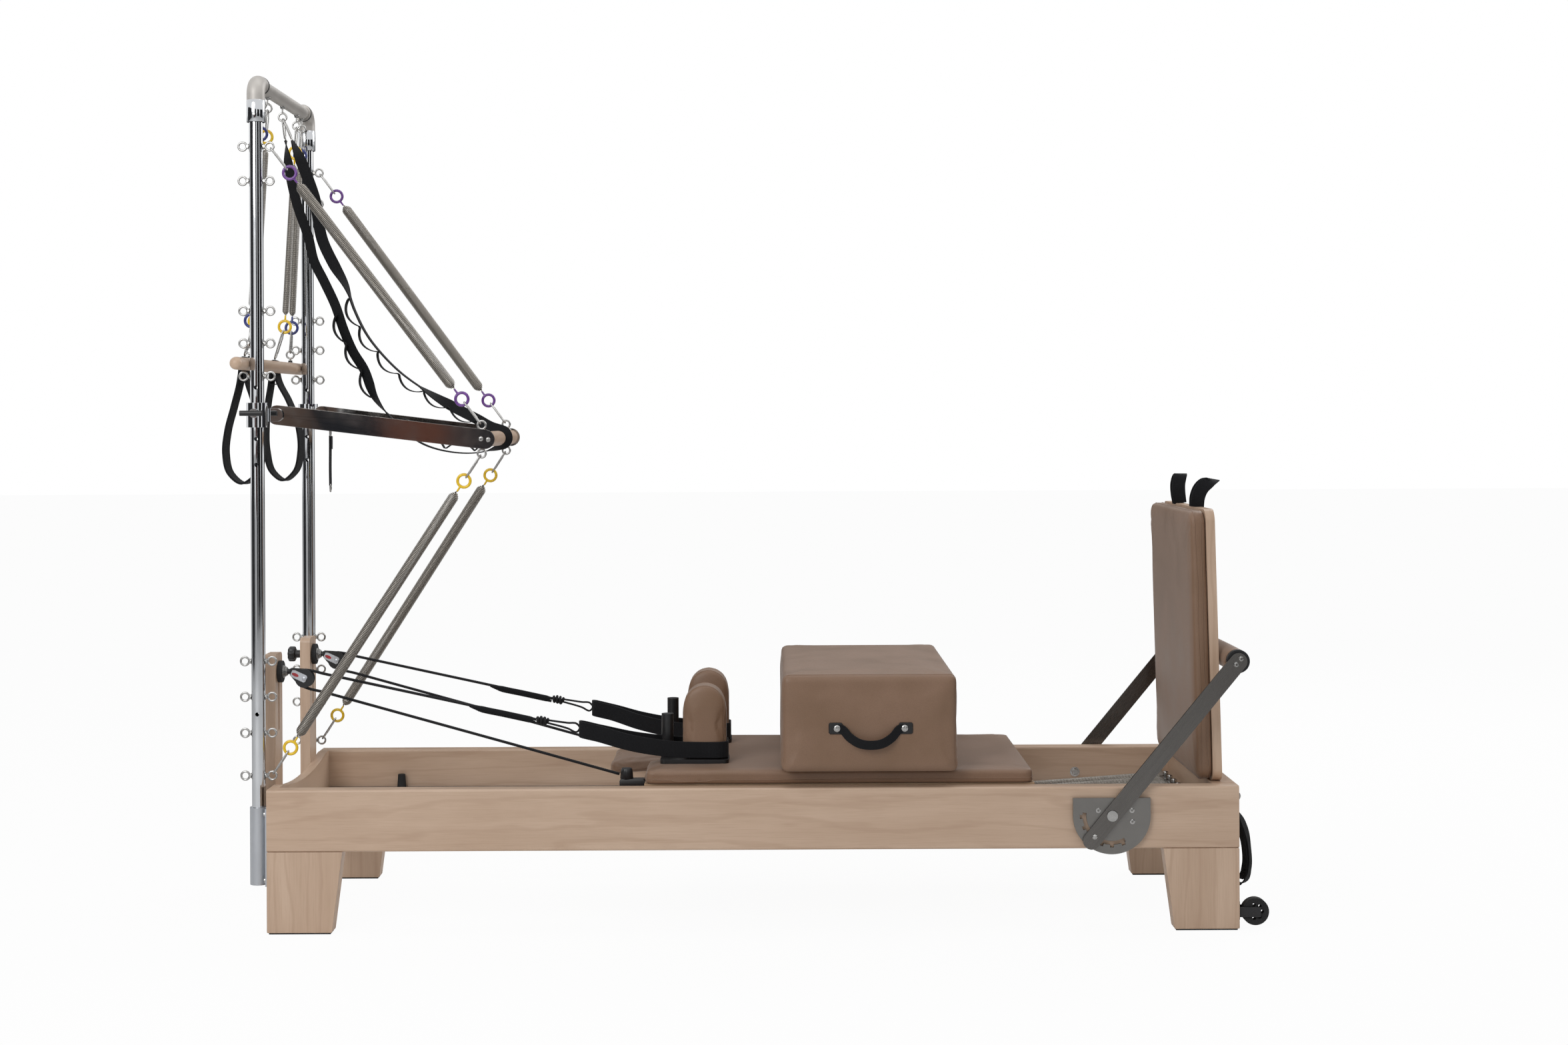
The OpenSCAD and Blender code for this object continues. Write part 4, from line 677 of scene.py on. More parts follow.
# Springs
def close_wound(a, b, r, wire, stem, cone=4, steps=11, sides=6, pitch=None):
    """A close-wound spring with a cone of turns at each end and a straight stem beyond it."""
    a, b = np.asarray(a, float), np.asarray(b, float)
    d = unit(b - a)
    e = unit(np.cross(d, (0.1, 1, 0.05)))
    f = np.cross(d, e)
    full = np.linalg.norm(b - a)
    pitch = pitch or wire * 1.06
    turns = int((full - 2 * stem) / pitch)
    path = [a, a + d * stem * 0.7]
    for i in range(turns * steps + 1):
        done = i / steps
        t = min(1.0, (done + 0.35) / cone, (turns - done + 0.35) / cone)
        q = (r - wire / 2) * (0.12 + 0.88 * math.sin(t * math.pi / 2))
        angle = 2 * math.pi * done
        path.append(a + d * (stem + (full - 2 * stem) * done / turns)
                    + q * (math.cos(angle) * e + math.sin(angle) * f))
    path += [b - d * stem * 0.7, b]
    return tube(np.array(path), wire / 2, sides)


def ring_to_ring(a, b, r, wire, stem):
    """A spring whose stems end in the necks of two rings."""
    neck = unit(b - a) * (RING_R + 3)
    return close_wound(a + neck, b - neck, r, wire, stem)


def dipped_ring(centre, toward, colour, name, body, replaces):
    """A vinyl-dipped ring with the neck that grips the spring's stem."""
    d = unit(np.asarray(toward, float) - centre)
    return Piece(name).add(
        hoop(centre, (0, 1, 0), RING_R, RING_WIRE, 36, 12),
        lathe([(3.2, 0), (2.6, 4), (2.3, 13), (1.9, 14)], centre + d * (RING_R + 1), d, 12),
    ).make(colour, body, "spring_steel", replaces)


for word, side in SIDES.items():
    for up, level, part, colour in ((1, EYE_LEVELS[-1], "upper", purple),
                                    (-1, EYE_LEVELS[0], "lower", yellow)):
        eye, far = post_eye(side, 1, level), push_eye(side, up)
        d = unit(far - eye)
        first, last = eye + d * PUSH_CLIP_REACH, far - d * PUSH_CLIP_REACH
        name = f"{word}_{part}_spring"
        coil = Piece(name).add(
            ring_to_ring(first, last, *PUSH_SPRING)
        ).make(spring_wire, None, "spring_steel", ["push_springs"], 0)
        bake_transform(coil)
        dipped_ring(first, far, colour, name + "_post_ring", "frame", ["push_springs"])
        dipped_ring(last, eye, colour, name + "_bar_ring", "push_bar", ["push_springs"])

# Eyebolts, clips and bolt heads that swing with the push-through bar
fittings = Piece("push_bar_fittings")
tilt = math.atan2(PUSH_PIVOT[1] - PUSH_BAR[1], PUSH_BAR[0] - PUSH_PIVOT[0])
for side in (-1, 1):
    for x in (-9, 9):
        head = (PUSH_BAR[0] + x * math.cos(tilt), side * 268, PUSH_BAR[1] - x * math.sin(tilt))
        fittings.add(lathe([(5.5, 0), (6, 0.6), (5.6, 2.4), (4.4, 3.7), (2.6, 4), (2.4, 2.6),
                            (0, 2.6)], head, (0, side, 0), 24))
    for up, level in ((1, EYE_LEVELS[-1]), (-1, EYE_LEVELS[0])):
        eye, post = push_eye(side, up), post_eye(side, 1, level)
        foot = (PUSH_BAR[0] - 4, side * PUSH_EYE_SIDE, PUSH_BAR[1] + up * 18.4)
        ring = eye + unit(post - eye) * PUSH_CLIP_REACH
        fittings.add(*eyebolt(foot, eye, 3), *eye_clip(eye, ring))
fittings.make(zinc, "push_bar", "chrome_steel", ["push_fittings"])

# Springs of the roll-down bar and the hand loops
roll_wire, roll_hooks = Piece("roll_down_bar_springs"), Piece("roll_down_bar_clips")
for word, side in SIDES.items():
    top = np.array([POST_X, side * BLUE_SIDE, CROSS_EYE_Z])
    eye = np.array([ROLL_X, side * BLUE_SIDE, ROLL_EYE_Z])
    d = unit(eye - top)
    high, low = top + d * ARM_CLIP_REACH, eye - d * ARM_CLIP_REACH
    roll_hooks.add(*eye_clip(top, high), *eye_clip(eye, low),
                   *eyebolt((ROLL_X, side * BLUE_SIDE, ROLL_Z + 15.5), eye))
    roll_wire.add(ring_to_ring(high, low, *ARM_SPRING))
    for ring, toward, part in ((high, low, "top"), (low, high, "bar")):
        dipped_ring(ring, toward, blue, f"{word}_blue_{part}_ring", "roll_down_bar",
                    ["roll_down_springs"])

    top = np.array([POST_X, side * YELLOW_SIDE, CROSS_EYE_Z])
    low = np.array([HAND_RING[0], side * YELLOW_SIDE, HAND_RING[1]])
    strap = np.array([-1265, side * YELLOW_SIDE, 1403.0])
    high = top + unit(low - top) * ARM_CLIP_REACH
    body, node = f"{word}_hand_loop", f"{word}_arm_spring"
    Piece(f"{word}_arm_spring_coil").add(
        ring_to_ring(high, low, *ARM_SPRING)
    ).make(spring_wire, body, "spring_steel", [node], 0)
    d = unit(strap - low)
    Piece(f"{word}_arm_spring_clips").add(
        *eye_clip(top, high), *snap_clip(low + d * 10, strap - d * 2)
    ).make(zinc, body, "chrome_steel", [node])
    for ring, toward, part in ((high, low, "top"), (low, high, "hand")):
        dipped_ring(ring, toward, yellow, f"{word}_yellow_{part}_ring", body, [node])
roll_wire.make(spring_wire, "roll_down_bar", "spring_steel", ["roll_down_springs"], 0)
roll_hooks.make(zinc, "roll_down_bar", "chrome_steel", ["roll_down_springs"])

# Carriage springs under the foot end, hooked over posts on the spring bar
carriage_coils, spring_posts = Piece("carriage_spring_coils"), Piece("spring_bar_posts")
for i in range(-2, 3):
    carriage_coils.add(close_wound((670.2, i * 60, 270), (1075.5, i * 60, 298),
                                   r=12, wire=3.0, stem=16))
    spring_posts.add(lathe([(4.6, 0), (4.6, 3), (3.6, 4), (3.6, 12), (7, 13), (7.6, 16),
                            (6.6, 19), (3, 20.5), (0, 20.8)], (1080, i * 60, 290), (0, 0, 1), 24))
springs_under = carriage_coils.make(spring_wire, None, "spring_steel", ["carriage_springs"], 0)
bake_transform(springs_under)
spring_posts.make(zinc, "frame", "chrome_steel")


# Straps and ropes
def flat_route(points, y):
    return np.array([(x, y, z) for x, z in points], float)


def webbing_strap(route, thick, width, guide, closed=False, step=5):
    return sweep(smooth_path(route, step, closed),
                 band_section(thick, width, min(0.8, thick * 0.3)), guide, closed)


STRAP_ROUTE = [
    (-1179, 1962), (-1152, 1896), (-1124, 1818), (-1101, 1700), (-1073, 1641), (-1044, 1590),
    (-1022, 1527), (-988, 1459), (-948, 1408), (-908, 1368), (-840, 1318), (-768, 1275),
    (-705, 1242), (-668, 1222), (-652, 1217), (-637, 1211), (-630, 1194), (-637, 1178),
    (-652, 1171), (-700, 1158), (-773, 1159), (-848, 1181), (-914, 1234), (-969, 1299),
    (-999, 1375), (-1024, 1415), (-1050, 1476), (-1070, 1536), (-1100, 1601), (-1125, 1652),
    (-1138, 1709), (-1170, 1805), (-1189, 1896), (-1197, 1962),
]


def turned_strap(path, thick, width, turned):
    """Webbing whose flat turns from across the frame towards the side, by an angle per point."""
    ahead = directions(path, False)
    across = np.array([0.0, 1.0, 0.0])
    flat = np.cross(ahead, across)
    guide = across * np.cos(turned)[:, None] + flat * np.sin(turned)[:, None]
    return sweep(path, band_section(thick, width), guide)


def ladder(path, first, last, pitch, height, below):
    """Loops of webbing stitched along a strap between two lengths, on one side of it."""
    along = lengths(path)
    part = path[(along >= first) & (along <= last)]
    along = lengths(part)
    count = max(1, round(along[-1] / pitch))
    off = np.cross(directions(part, False), (0, 1, 0))
    lift = 3.2 + height * np.abs(np.sin(math.pi * along * count / along[-1])) ** 0.75
    return sweep(part + off * (below * lift)[:, None], band_section(2.4, 26, 0.7), (0, 1, 0))


strap_path = smooth_path(flat_route(STRAP_ROUTE, 0), 5)
strap_at = lengths(strap_path)
from_clip = np.minimum(strap_at, strap_at[-1] - strap_at)
# It hangs twisted near its clips and again before the bar
wide_until = np.where(strap_at < strap_at[-1] / 2, 430, 760)
turned = np.radians(62) * np.clip((wide_until - from_clip) / 90, 0, 1)
turned += np.radians(58) * np.clip((strap_at - 730) / 90, 0, 1) * np.clip(
    (1060 - strap_at) / 60, 0, 1)
turned *= np.clip(from_clip / 60, 0, 1)
loop_strap = Piece("push_bar_loop_strap").add(
    turned_strap(strap_path, 3.0, 30.0, turned),
    ladder(strap_path, 430, 900, 82, 20, -1),
    ladder(strap_path, 1010, 1330, 82, 24, -1),
    ladder(strap_path, 1400, 1640, 82, 20, 1),
).make(webbing, None, "black_webbing", ["loop_strap"])
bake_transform(loop_strap)
strap_clips = Piece("loop_strap_clips")
for x in (0, -1):
    eye, end = np.array([POST_X, 0, CROSS_EYE_Z]), strap_path[x]
    d = unit(end - eye)
    strap_clips.add(*snap_clip(eye + d * 5.2, end - d * 1))
    strap_clips.add(lathe([(2, -15), (2, 15)], end, (0, 1, 0), 12))
strap_clips.make(zinc, "frame", "chrome_steel", ["loop_strap"])

# Safety strap that hangs from the far arm, with its sewn end and two hooks
Piece("safety_strap_webbing").add(
    webbing_strap([(-1139, 265, 1200), (-1139, 265, 1170), (-1139.5, 265, 1110),
                   (-1139, 265, 1066)], 3.6, 14, (0.15, 1, 0)),
    webbing_strap([(-1135.6, 265, 1199), (-1135.6, 265, 1185), (-1135.8, 265, 1164)],
                  2.4, 13, (0.15, 1, 0)),
).make(webbing, "push_bar", "black_webbing", ["safety_strap"])
Piece("safety_strap_hooks").add(
    *snap_clip((-1139, 265, 1226), (-1139, 265, 1196), wide=6, narrow=5),
    *snap_clip((-1139, 265, 1070), (-1139, 265, 1050), wide=5, narrow=4),
).make(zinc, "push_bar", "chrome_steel")

HAND_ROUTES = {
    "near": [(-1275, 1340), (-1290, 1280), (-1307, 1215), (-1312, 1160), (-1300, 1110),
             (-1268, 1086), (-1237, 1105), (-1222, 1160), (-1226, 1230), (-1242, 1295),
             (-1257, 1345)],
    "far": [(-1274, 1340), (-1282, 1290), (-1288, 1230), (-1286, 1160), (-1270, 1105),
            (-1240, 1084), (-1212, 1105), (-1197, 1160), (-1202, 1225), (-1228, 1295),
            (-1255, 1350)],
}
AT_RING = [(-1265, 1400), (-1269, 1396), (-1270, 1380)], [(-1260.5, 1380), (-1261, 1396)]
for word, side in SIDES.items():
    y = side * YELLOW_SIDE
    route = flat_route(AT_RING[0] + HAND_ROUTES[word] + AT_RING[1], y)
    Piece(f"{word}_hand_loop_strap").add(
        webbing_strap(route, 5.4, 35, (0.2, 0.98, 0), True),
        # Sewn cross band under the ring
        sweep(flat_route([(-1273.5, 1348), (-1273.5, 1338), (-1254, 1338), (-1254, 1348)], y),
              band_section(2.4, 36), (0, 1, 0), True),
    ).make(webbing, f"{word}_hand_loop", "black_webbing", [f"{word}_hand_strap"])

HANGING_OUTER = [(1188, 247), (1186, 220), (1182, 170), (1183, 120), (1192, 90), (1205, 84),
                 (1218, 90), (1227, 120), (1226, 170), (1218, 220), (1205, 247), (1196, 256)]
HANGING_INNER = [(1193, 240), (1192, 215), (1188, 170), (1190, 125), (1197, 103), (1205, 98),
                 (1212, 103), (1219, 125), (1219, 170), (1209, 215), (1200, 240), (1196, 251.8)]
Piece("hanging_spare_straps").add(
    webbing_strap(flat_route(HANGING_OUTER, -200), 3.6, 30, (0.6, 0.8, 0), True),
    webbing_strap(flat_route(HANGING_INNER, -200), 3.2, 28, (-0.4, 0.9, 0), True),
).make(webbing, "frame", "black_webbing", ["hanging_straps"])
Piece("hanging_strap_clip").add(
    *snap_clip((1196, -200, 294.8), (1196, -200, 253), wide=8, narrow=6),
    lathe([(2, -16), (2, 16)], (1196, -200, 254), (0, 1, 0), 12),
).make(zinc, "frame", "chrome_steel", ["hanging_straps"])

ROPE_ROUTE = [
    (-331.3, 362), (-600, 438), (-870, 514), (-1060, 567.5), (-1115.5, 583.2), (-1124.5, 588.4),
    (-1130, 597.7), (-1130, 608.3), (-1124.5, 617.6), (-1115.5, 623), (-1105.7, 623.1),
    (-1060, 613.2), (-900, 578), (-700, 534), (-537.3, 498.1),
]
TAIL_ROUTE = [(-540, 491.2), (-560, 495.4), (-620, 508.7), (-680, 521.9)]
KNOT = np.array([-522.0, 0.0, 495.0])
cleats = Piece("rope_cleat_caps")
for y in (-200, 200):
    cleats.add(
        plate(rounded_outline(66, 30, 4), (-298, y, 335), (0, 0, 1), (0, 1, 0), 16),
        lathe([(16, 0), (16.4, 1), (15, 17), (13.6, 23.4), (12, 25.6), (4, 26), (0, 26)],
              (-313.5, y, 351), (0, 0, 1), 72, lobes=24, depth=0.05))
cleats.make(abs_black, "carriage", "black_plastic", ["rope_cleats"])
FOOT_LOOP_ROUTE = [
    (-430, 199, 474), (-380, 208, 462), (-300, 212, 440), (-200, 207, 424), (-120, 205, 421),
    (-80, 204, 421), (-66, 194, 421), (-65, 162, 421), (-66, 130, 421), (-80, 120, 421),
    (-120, 119, 421), (-200, 120, 424), (-300, 150, 440), (-380, 182, 462), (-430, 191, 474),
]
SPLICE_ROUTE = [(-702, 533.6), (-690, 529.4), (-676, 525.2), (-620, 512.9), (-556, 498.8),
                (-544, 496.2)]
ROPE_D, LINK_D = 7.0, 5.0


def cord_piece(name, path, width, body=None):
    return Piece(name).add(tube(path, width / 2, 10)).make(
        braid, body, "black_webbing", ["ropes"], 0)


def declare_cord(cord, path, width, far_end, *along):
    """Turns a limp cord's route, drawn in millimetres, into metres, and does no more with it."""
    path = path * MM


for word, side in SIDES.items():
    y = side * PULLEY_SIDE
    # Knot: the rope's turns round itself, and the loop that the foot strap hangs from
    centre, start = KNOT + (0, y, 0), np.array([-431.7, side * 195, 474])
    d = unit(start - centre)
    knot = Piece(f"{word}_rope_knot").add(
        close_wound(centre - d * 14, centre + d * 14, r=11.5, wire=7.0, stem=1, cone=0.7,
                    steps=16, sides=8, pitch=7.2),
        tube([centre - d * 15, centre, centre + d * 14], 4.5, 10),
    ).make(braid, "carriage", "black_webbing", ["ropes"], 0)
    main_path = smooth_path(flat_route(ROPE_ROUTE, y), 9)
    rope = cord_piece(f"{word}_rope", main_path, ROPE_D)
    tail_path = smooth_path(flat_route(TAIL_ROUTE, y), 9)
    tail = cord_piece(f"{word}_rope_tail", tail_path, ROPE_D)
    # Sleeve that holds the spliced tail against the rope
    splice = smooth_path(flat_route(SPLICE_ROUTE, y), 5)
    taper = np.interp(np.linspace(0, 1, len(splice)), [0, 0.1, 0.2, 0.95, 1],
                      [0.5, 0.72, 1, 1, 0.8])
    sleeve = Piece(f"{word}_rope_sleeve").add(
        sweep(splice, round_section(1, 14) * (4.6, 8.2), (0, 0.001, 1), False, taper)
    ).make(webbing, None, "black_webbing")
    declare_cord(rope, main_path, ROPE_D, "knot", [knot, sleeve])
    declare_cord(tail, tail_path, ROPE_D, "bare")
    for cord in (rope, tail, sleeve):
        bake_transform(cord)
    Piece(f"{word}_foot_loop_webbing").add(
        webbing_strap([(x, side * b, z) for x, b, z in FOOT_LOOP_ROUTE], 3.4, 40, (0, 0, 1), True)
    ).make(webbing, "carriage", "black_webbing", ["foot_loops"])
    link_path = smooth_path([
        centre + d * 12 + (0, 0, 4), centre + (start + (0, 0, 12) - centre) * 0.7,
        start + (-5, 0, 12), start + (2, 0, 2), start + (-5, 0, -8),
        centre + (start + (0, 0, -8) - centre) * 0.7, centre + d * 12 + (0, 0, -2.7),
    ], 4)
    link = cord_piece(f"{word}_foot_loop_cord", link_path, LINK_D, "carriage")
    declare_cord(link, link_path, LINK_D, "object")

# Box handles: webbing in flat end clips, each held by a screw and cup washer
HANDLE = [(-88, 2.6, 1), (-70, 4.5, -2), (-52, 12, -20), (-28, 20, -34), (0, 22, -38),
          (28, 20, -34), (52, 12, -20), (70, 4.5, -2), (88, 2.6, 1)]
handles, handle_ends, handle_screws = (
    Piece("box_handle_webbing"), Piece("box_handle_ends"), Piece("box_handle_screws"))
HANDLE_X, HANDLE_Z, HANDLE_HALF, BOX_SIDE = 285.5, 494, 81.5, 350
for side in (-1, 1):
    face = side * BOX_SIDE
    handles.add(webbing_strap([(HANDLE_X + x, face + side * y, HANDLE_Z + z)
                               for x, y, z in HANDLE], 3.6, 22, (0, 0, 1), step=4))
    for end in (-1, 1):
        x = HANDLE_X + end * HANDLE_HALF
        clip_foot = (x + end * 3, face - side * 1.2, HANDLE_Z)
        handle_ends.add(plate(rounded_outline(34, 28, 5, 5), clip_foot, (0, side, 0), (0, 0, 1),
                              6.4))
        handle_screws.add(lathe([(8, 0), (8.2, 0.8), (7, 2), (5, 2.4), (4.8, 1.8), (2, 2.3),
                                 (0, 2.4)], (x, face + side * 5, HANDLE_Z), (0, side, 0), 24))
handles.make(webbing, "sitting_box", "black_webbing", ["box_handles"])
handle_ends.make(abs_black, "sitting_box", "black_webbing")
handle_screws.make(zinc, "sitting_box", "chrome_steel")

# Loops on top of the jumpboard
NEAR_LOOP = [(0, -9, 0), (3, -13, 25), (14, -14, 48), (32, -9, 62), (44, 0, 66), (32, 9, 62),
             (14, 14, 48), (3, 13, 25), (0, 9, 0)]
FAR_LOOP = [(0, -9, 0), (-3, -13, 25), (-3, -14, 50), (2, -9, 70), (5, 0, 76), (2, 9, 70),
            (-3, 14, 50), (-3, 13, 25), (0, 9, 0)]
on_jumpboard = (Matrix.Translation((1146, 0, 350))  # its foot, and how far it leans
                @ Matrix.Rotation(math.radians(-1.4), 4, "Y"))
board_loops = Piece("jumpboard_loop_webbing")
for side, loop in ((-1, NEAR_LOOP), (1, FAR_LOOP)):
    route = [on_jumpboard @ Vector((-11 + x, side * 115 + y, 665 + z)) for x, y, z in loop]
    board_loops.add(webbing_strap([tuple(p) for p in route], 3, 34, (1, 0, 0), step=4))
board_loops.make(webbing, "jumpboard", "black_webbing", ["jumpboard_loops"])


# Cushions
def pillow(outline, half, steps, placed):
    """A closed pad: an outline carried up through (height, inset) steps."""
    half, points = np.array(half), []
    for height, inset in steps:
        shrink = (half - inset) / half
        points += [placed @ Vector((x * shrink[0], y * shrink[1], height)) for x, y in outline]
    return stacked([tuple(p) for p in points], len(outline))


def pad_steps(thick, edge, crown, half):
    """Foam board wrapped in leatherette: round edges, drawn-in sides, a crowned top."""
    arc = [math.radians(a) for a in (0, 30, 60, 90)]
    steps = [(edge * (1 - math.cos(a)), edge * (1 - math.sin(a))) for a in arc]
    steps.append((thick / 2, 1.5))
    steps += [(thick - edge + edge * math.sin(a), edge * (1 - math.cos(a))) for a in arc]
    return steps + [(thick + crown * 0.7, half * 0.4), (thick + crown, half * 0.85)]


def stuffed(name, shapes, body, replaces, held, voxel, cap=3.0):
    """A cushion: its blocks are joined, swelled by cloth, and capped in how far they move."""
    obj = Piece(name).add(*shapes).make(leather)
    bpy.context.view_layer.objects.active = obj
    remesh = obj.modifiers.new("joined_blocks", "REMESH")
    remesh.mode, remesh.voxel_size = "VOXEL", voxel * MM
    ease = obj.modifiers.new("eased", "SMOOTH")
    ease.factor, ease.iterations = 0.5, 4
    for modifier in (remesh.name, ease.name):
        bpy.ops.object.modifier_apply(modifier=modifier)
    rest = np.array([v.co for v in obj.data.vertices])
    pinned = [i for i, p in enumerate(rest / MM) if held(p)]
    obj.vertex_groups.new(name="held").add(pinned, 1.0, "REPLACE")
    cloth = obj.modifiers.new("cloth", "CLOTH")
    cloth.settings.use_pressure = True
    cloth.settings.uniform_pressure_force = 3.0
    cloth.settings.effector_weights.gravity = 0
    cloth.settings.vertex_group_mass = "held"
    cloth.settings.quality = 4
    cloth.point_cache.frame_start, cloth.point_cache.frame_end = 1, 20
    for step in range(1, 21):
        scene.frame_set(step)
    swelled = obj.evaluated_get(bpy.context.evaluated_depsgraph_get())
    moved = np.array([v.co for v in swelled.data.vertices]) - rest
    size = np.linalg.norm(moved, axis=1)[:, None]
    moved *= np.minimum(1, cap * MM / np.maximum(size, 1e-9))
    obj.modifiers.remove(cloth)
    scene.frame_set(1)
    obj.data.vertices.foreach_set("co", (rest + moved).ravel())
    obj.data.update()
    settle(obj, leather, body, replaces, 0)
    return obj


def piping(name, obj, routes, body, r=1.5, step=6, sunk=0.3):
    """Piped seams that lie along a cushion's own surface, closed loops of thin cord."""
    skin = BVHTree.FromPolygons([v.co[:] for v in obj.data.vertices],
                                [p.vertices[:] for p in obj.data.polygons])
    seams = Piece(name)
    for route in routes:
        on_skin = []
        for p in smooth_path(np.array(route, float) * MM, step * MM, True):
            spot, normal, _, _ = skin.find_nearest(Vector(p))
            on_skin.append((np.array(spot) - np.array(normal) * sunk * MM) / MM)
        seams.add(tube(on_skin, r, 8, True))
    return seams.make(leather, body, "tan_leather", (), 0)


# Carriage pad: one deck with two ears beside the headrest
deck = [pillow(rounded_outline(832, 600, 22), (416, 300), pad_steps(34, 8, 2, 300),
               Matrix.Translation((271, 0, 351)))]
for side in (-1, 1):
    deck.append(pillow(rounded_outline(150, 180, 20), (75, 90), pad_steps(34, 8, 0.6, 90),
                       Matrix.Translation((-190, side * 210, 351))))
pad = stuffed("carriage_deck_pad", deck, "carriage", ["carriage_pad"], lambda p: p[2] < 356,
              voxel=6.5)
deck_outline = [(-262, -298), (-262, -122), (-148, -118), (-148, 118), (-262, 122), (-262, 298),
                (685, 298), (685, -298)]


def rounded_route(corners, r, z):
    """A closed route with rounded corners through plan points."""
    route, n = [], len(corners)
    for i, c in enumerate(np.array(corners, float)):
        before, after = np.array(corners[i - 1], float), np.array(corners[(i + 1) % n], float)
        a, b = c + unit(before - c) * r, c + unit(after - c) * r
        route += [tuple(a), tuple(c + (a + b - 2 * c) * 0.29), tuple(b)]
    return [(x, y, z) for x, y in route]


piping("carriage_pad_seam", pad, [rounded_route(deck_outline, 20, 364)], "carriage", r=1.3)

# Headrest, hinged and tilted
head_place = (Matrix.Translation((-167, 0, 356.5))
              @ Matrix.Rotation(math.radians(-4), 4, "Y")
              @ Matrix.Translation((-5.5 - 94.5, 0, 3.5)))
rest_pad = stuffed(
    "headrest_pad",
    [pillow(rounded_outline(189, 230, 20), (94.5, 115), pad_steps(31, 9, 2.5, 94), head_place)],
    "headrest", ["headrest"], lambda p: (head_place.inverted() @ Vector(p))[2] < 3,
    voxel=5, cap=3.5)
edge_route = [tuple(head_place @ Vector((x, y, 12))) for x, y in rounded_outline(187, 228, 20, 4)]
piping("headrest_seam", rest_pad, [edge_route], "headrest", r=1.3)

# Shoulder rests: upright blocks with a round top, piped round both faces
for word, side in SIDES.items():
    half_l, half_h, width = 51.5, 91.0, 80.0
    arch = [(-half_l, -half_h + 10), (-half_l + 4, -half_h + 3), (-half_l + 10, -half_h),
            (half_l - 10, -half_h), (half_l - 4, -half_h + 3), (half_l, -half_h + 10)]
    arch += [(half_l * math.cos(t), half_h - half_l + half_l * math.sin(t))
             for t in np.linspace(0, math.pi, 17)]
    upright = (Matrix.Translation((-120.5, side * 122 + (width if side > 0 else 0), 490))
               @ Matrix.Rotation(math.radians(90), 4, "X"))
    steps = [(0, 34), (2, 14), (4, 5), (8, 1.2), (13, 0), (40, 1.5), (67, 0), (72, 1.2), (76, 5),
             (78, 14), (80, 34)]
    rest = stuffed(
        f"{word}_shoulder_rest", [pillow(arch, (half_l, half_h), steps, upright)],
        "carriage", ["shoulder_rests"], lambda p: p[2] < 404, voxel=4)
    seams = []
    for y in (131, 193):
        seams.append([(-120.5 + x * 0.985, side * y, 490 + z * 0.99) for x, z in arch])
    piping(f"{word}_shoulder_rest_piping", rest, seams, "carriage", step=5)

# Sitting box: one large block with piped faces
box_place = Matrix.Translation((283, 0, 388.3))
box = stuffed(
    "sitting_box_cushion",
    [pillow(rounded_outline(424, 700, 12), (212, 350), pad_steps(235, 10, 2, 212), box_place)],
    "sitting_box", ["sitting_box"], lambda p: p[2] < 396, voxel=7)
box_seams = []
for y in (-336, 336):
    box_seams.append([(283 + x, y, 506 + z) for x, z in rounded_outline(420, 232, 14, 4)])
piping("sitting_box_piping", box, box_seams, "sitting_box")

# Jumpboard pad
jump_place = (on_jumpboard @ Matrix.Translation((-22.1, 0, 332.5))
              @ Matrix.Rotation(math.radians(-90), 4, "Y"))
jump = stuffed(
    "jumpboard_cushion",
    [pillow(rounded_outline(665, 570, 30), (332.5, 285), pad_steps(38, 12, 2, 285), jump_place)],
    "jumpboard", ["jumpboard_pad"], lambda p: (jump_place.inverted() @ Vector(p))[2] < 4,
    voxel=6.5)
jump_seams = [[tuple(jump_place @ Vector((x, y, z))) for x, y in rounded_outline(663, 568, 29, 5)]
              for z in (10, 27)]
piping("jumpboard_seams", jump, jump_seams, "jumpboard", r=1.3)

# Footbar sleeve: foam tube in leatherette, sewn along its underside
FOOT_PIVOT, FOOT_ARM, FOOT_ANGLE = (865.5, 281), 480, math.radians(50.4)
bar_x = FOOT_PIVOT[0] + FOOT_ARM * math.cos(FOOT_ANGLE)
bar_z = FOOT_PIVOT[1] + FOOT_ARM * math.sin(FOOT_ANGLE)
sleeve_profile = [(14.2, 0.5), (23, 0.2), (26.5, 1.5), (28.2, 5)]
sleeve_profile += [
    (28.4 + 0.25 * math.sin(t * 9), 5 + 670 * t) for t in np.linspace(0.02, 0.98, 60)
]
sleeve_profile += [(28.2, 675), (26.5, 678.5), (23, 679.8), (14.2, 679.5)]
sleeve = Piece("footbar_sleeve").add(
    lathe(sleeve_profile, (bar_x, -340, bar_z), (0, 1, 0), 48)
).make(leather, "footbar", "tan_leather", ["footbar_bar"], 50)
Piece("footbar_sleeve_seam").add(
    tube([(bar_x + 24, y, bar_z - 15.4) for y in np.linspace(-336, 336, 40)], 1.2, 8)
).make(leather, "footbar", "tan_leather")

# Star knobs, each on a threaded stud with a metal face washer
for word, side in SIDES.items():
    y = side * PULLEY_SIDE
    Piece(f"{word}_star_knob").add(
        lathe([(17, 0), (19.6, 2.4), (20, 5), (20, 15), (18.5, 18), (12, 19)],
              (-1239, y, CLAMP_Z), (1, 0, 0), 64, lobes=8, depth=0.14),
        lathe([(11, 0), (10.4, 3), (10.2, 18.7)], (-1220, y, CLAMP_Z), (1, 0, 0), 32),
    ).make(abs_black, f"{word}_knob", "black_plastic", [f"{word}_knob"])
    Piece(f"{word}_knob_stud").add(
        lathe([(4, 0), (4, 37.5)], (-1201.5, y, CLAMP_Z), (1, 0, 0), 24),
        lathe([(6, 0), (6.4, 0.5), (5, 1.0), (0, 1.2)], (-1239, y, CLAMP_Z), (-1, 0, 0), 24),
    ).make(zinc, f"{word}_knob", "chrome_steel")

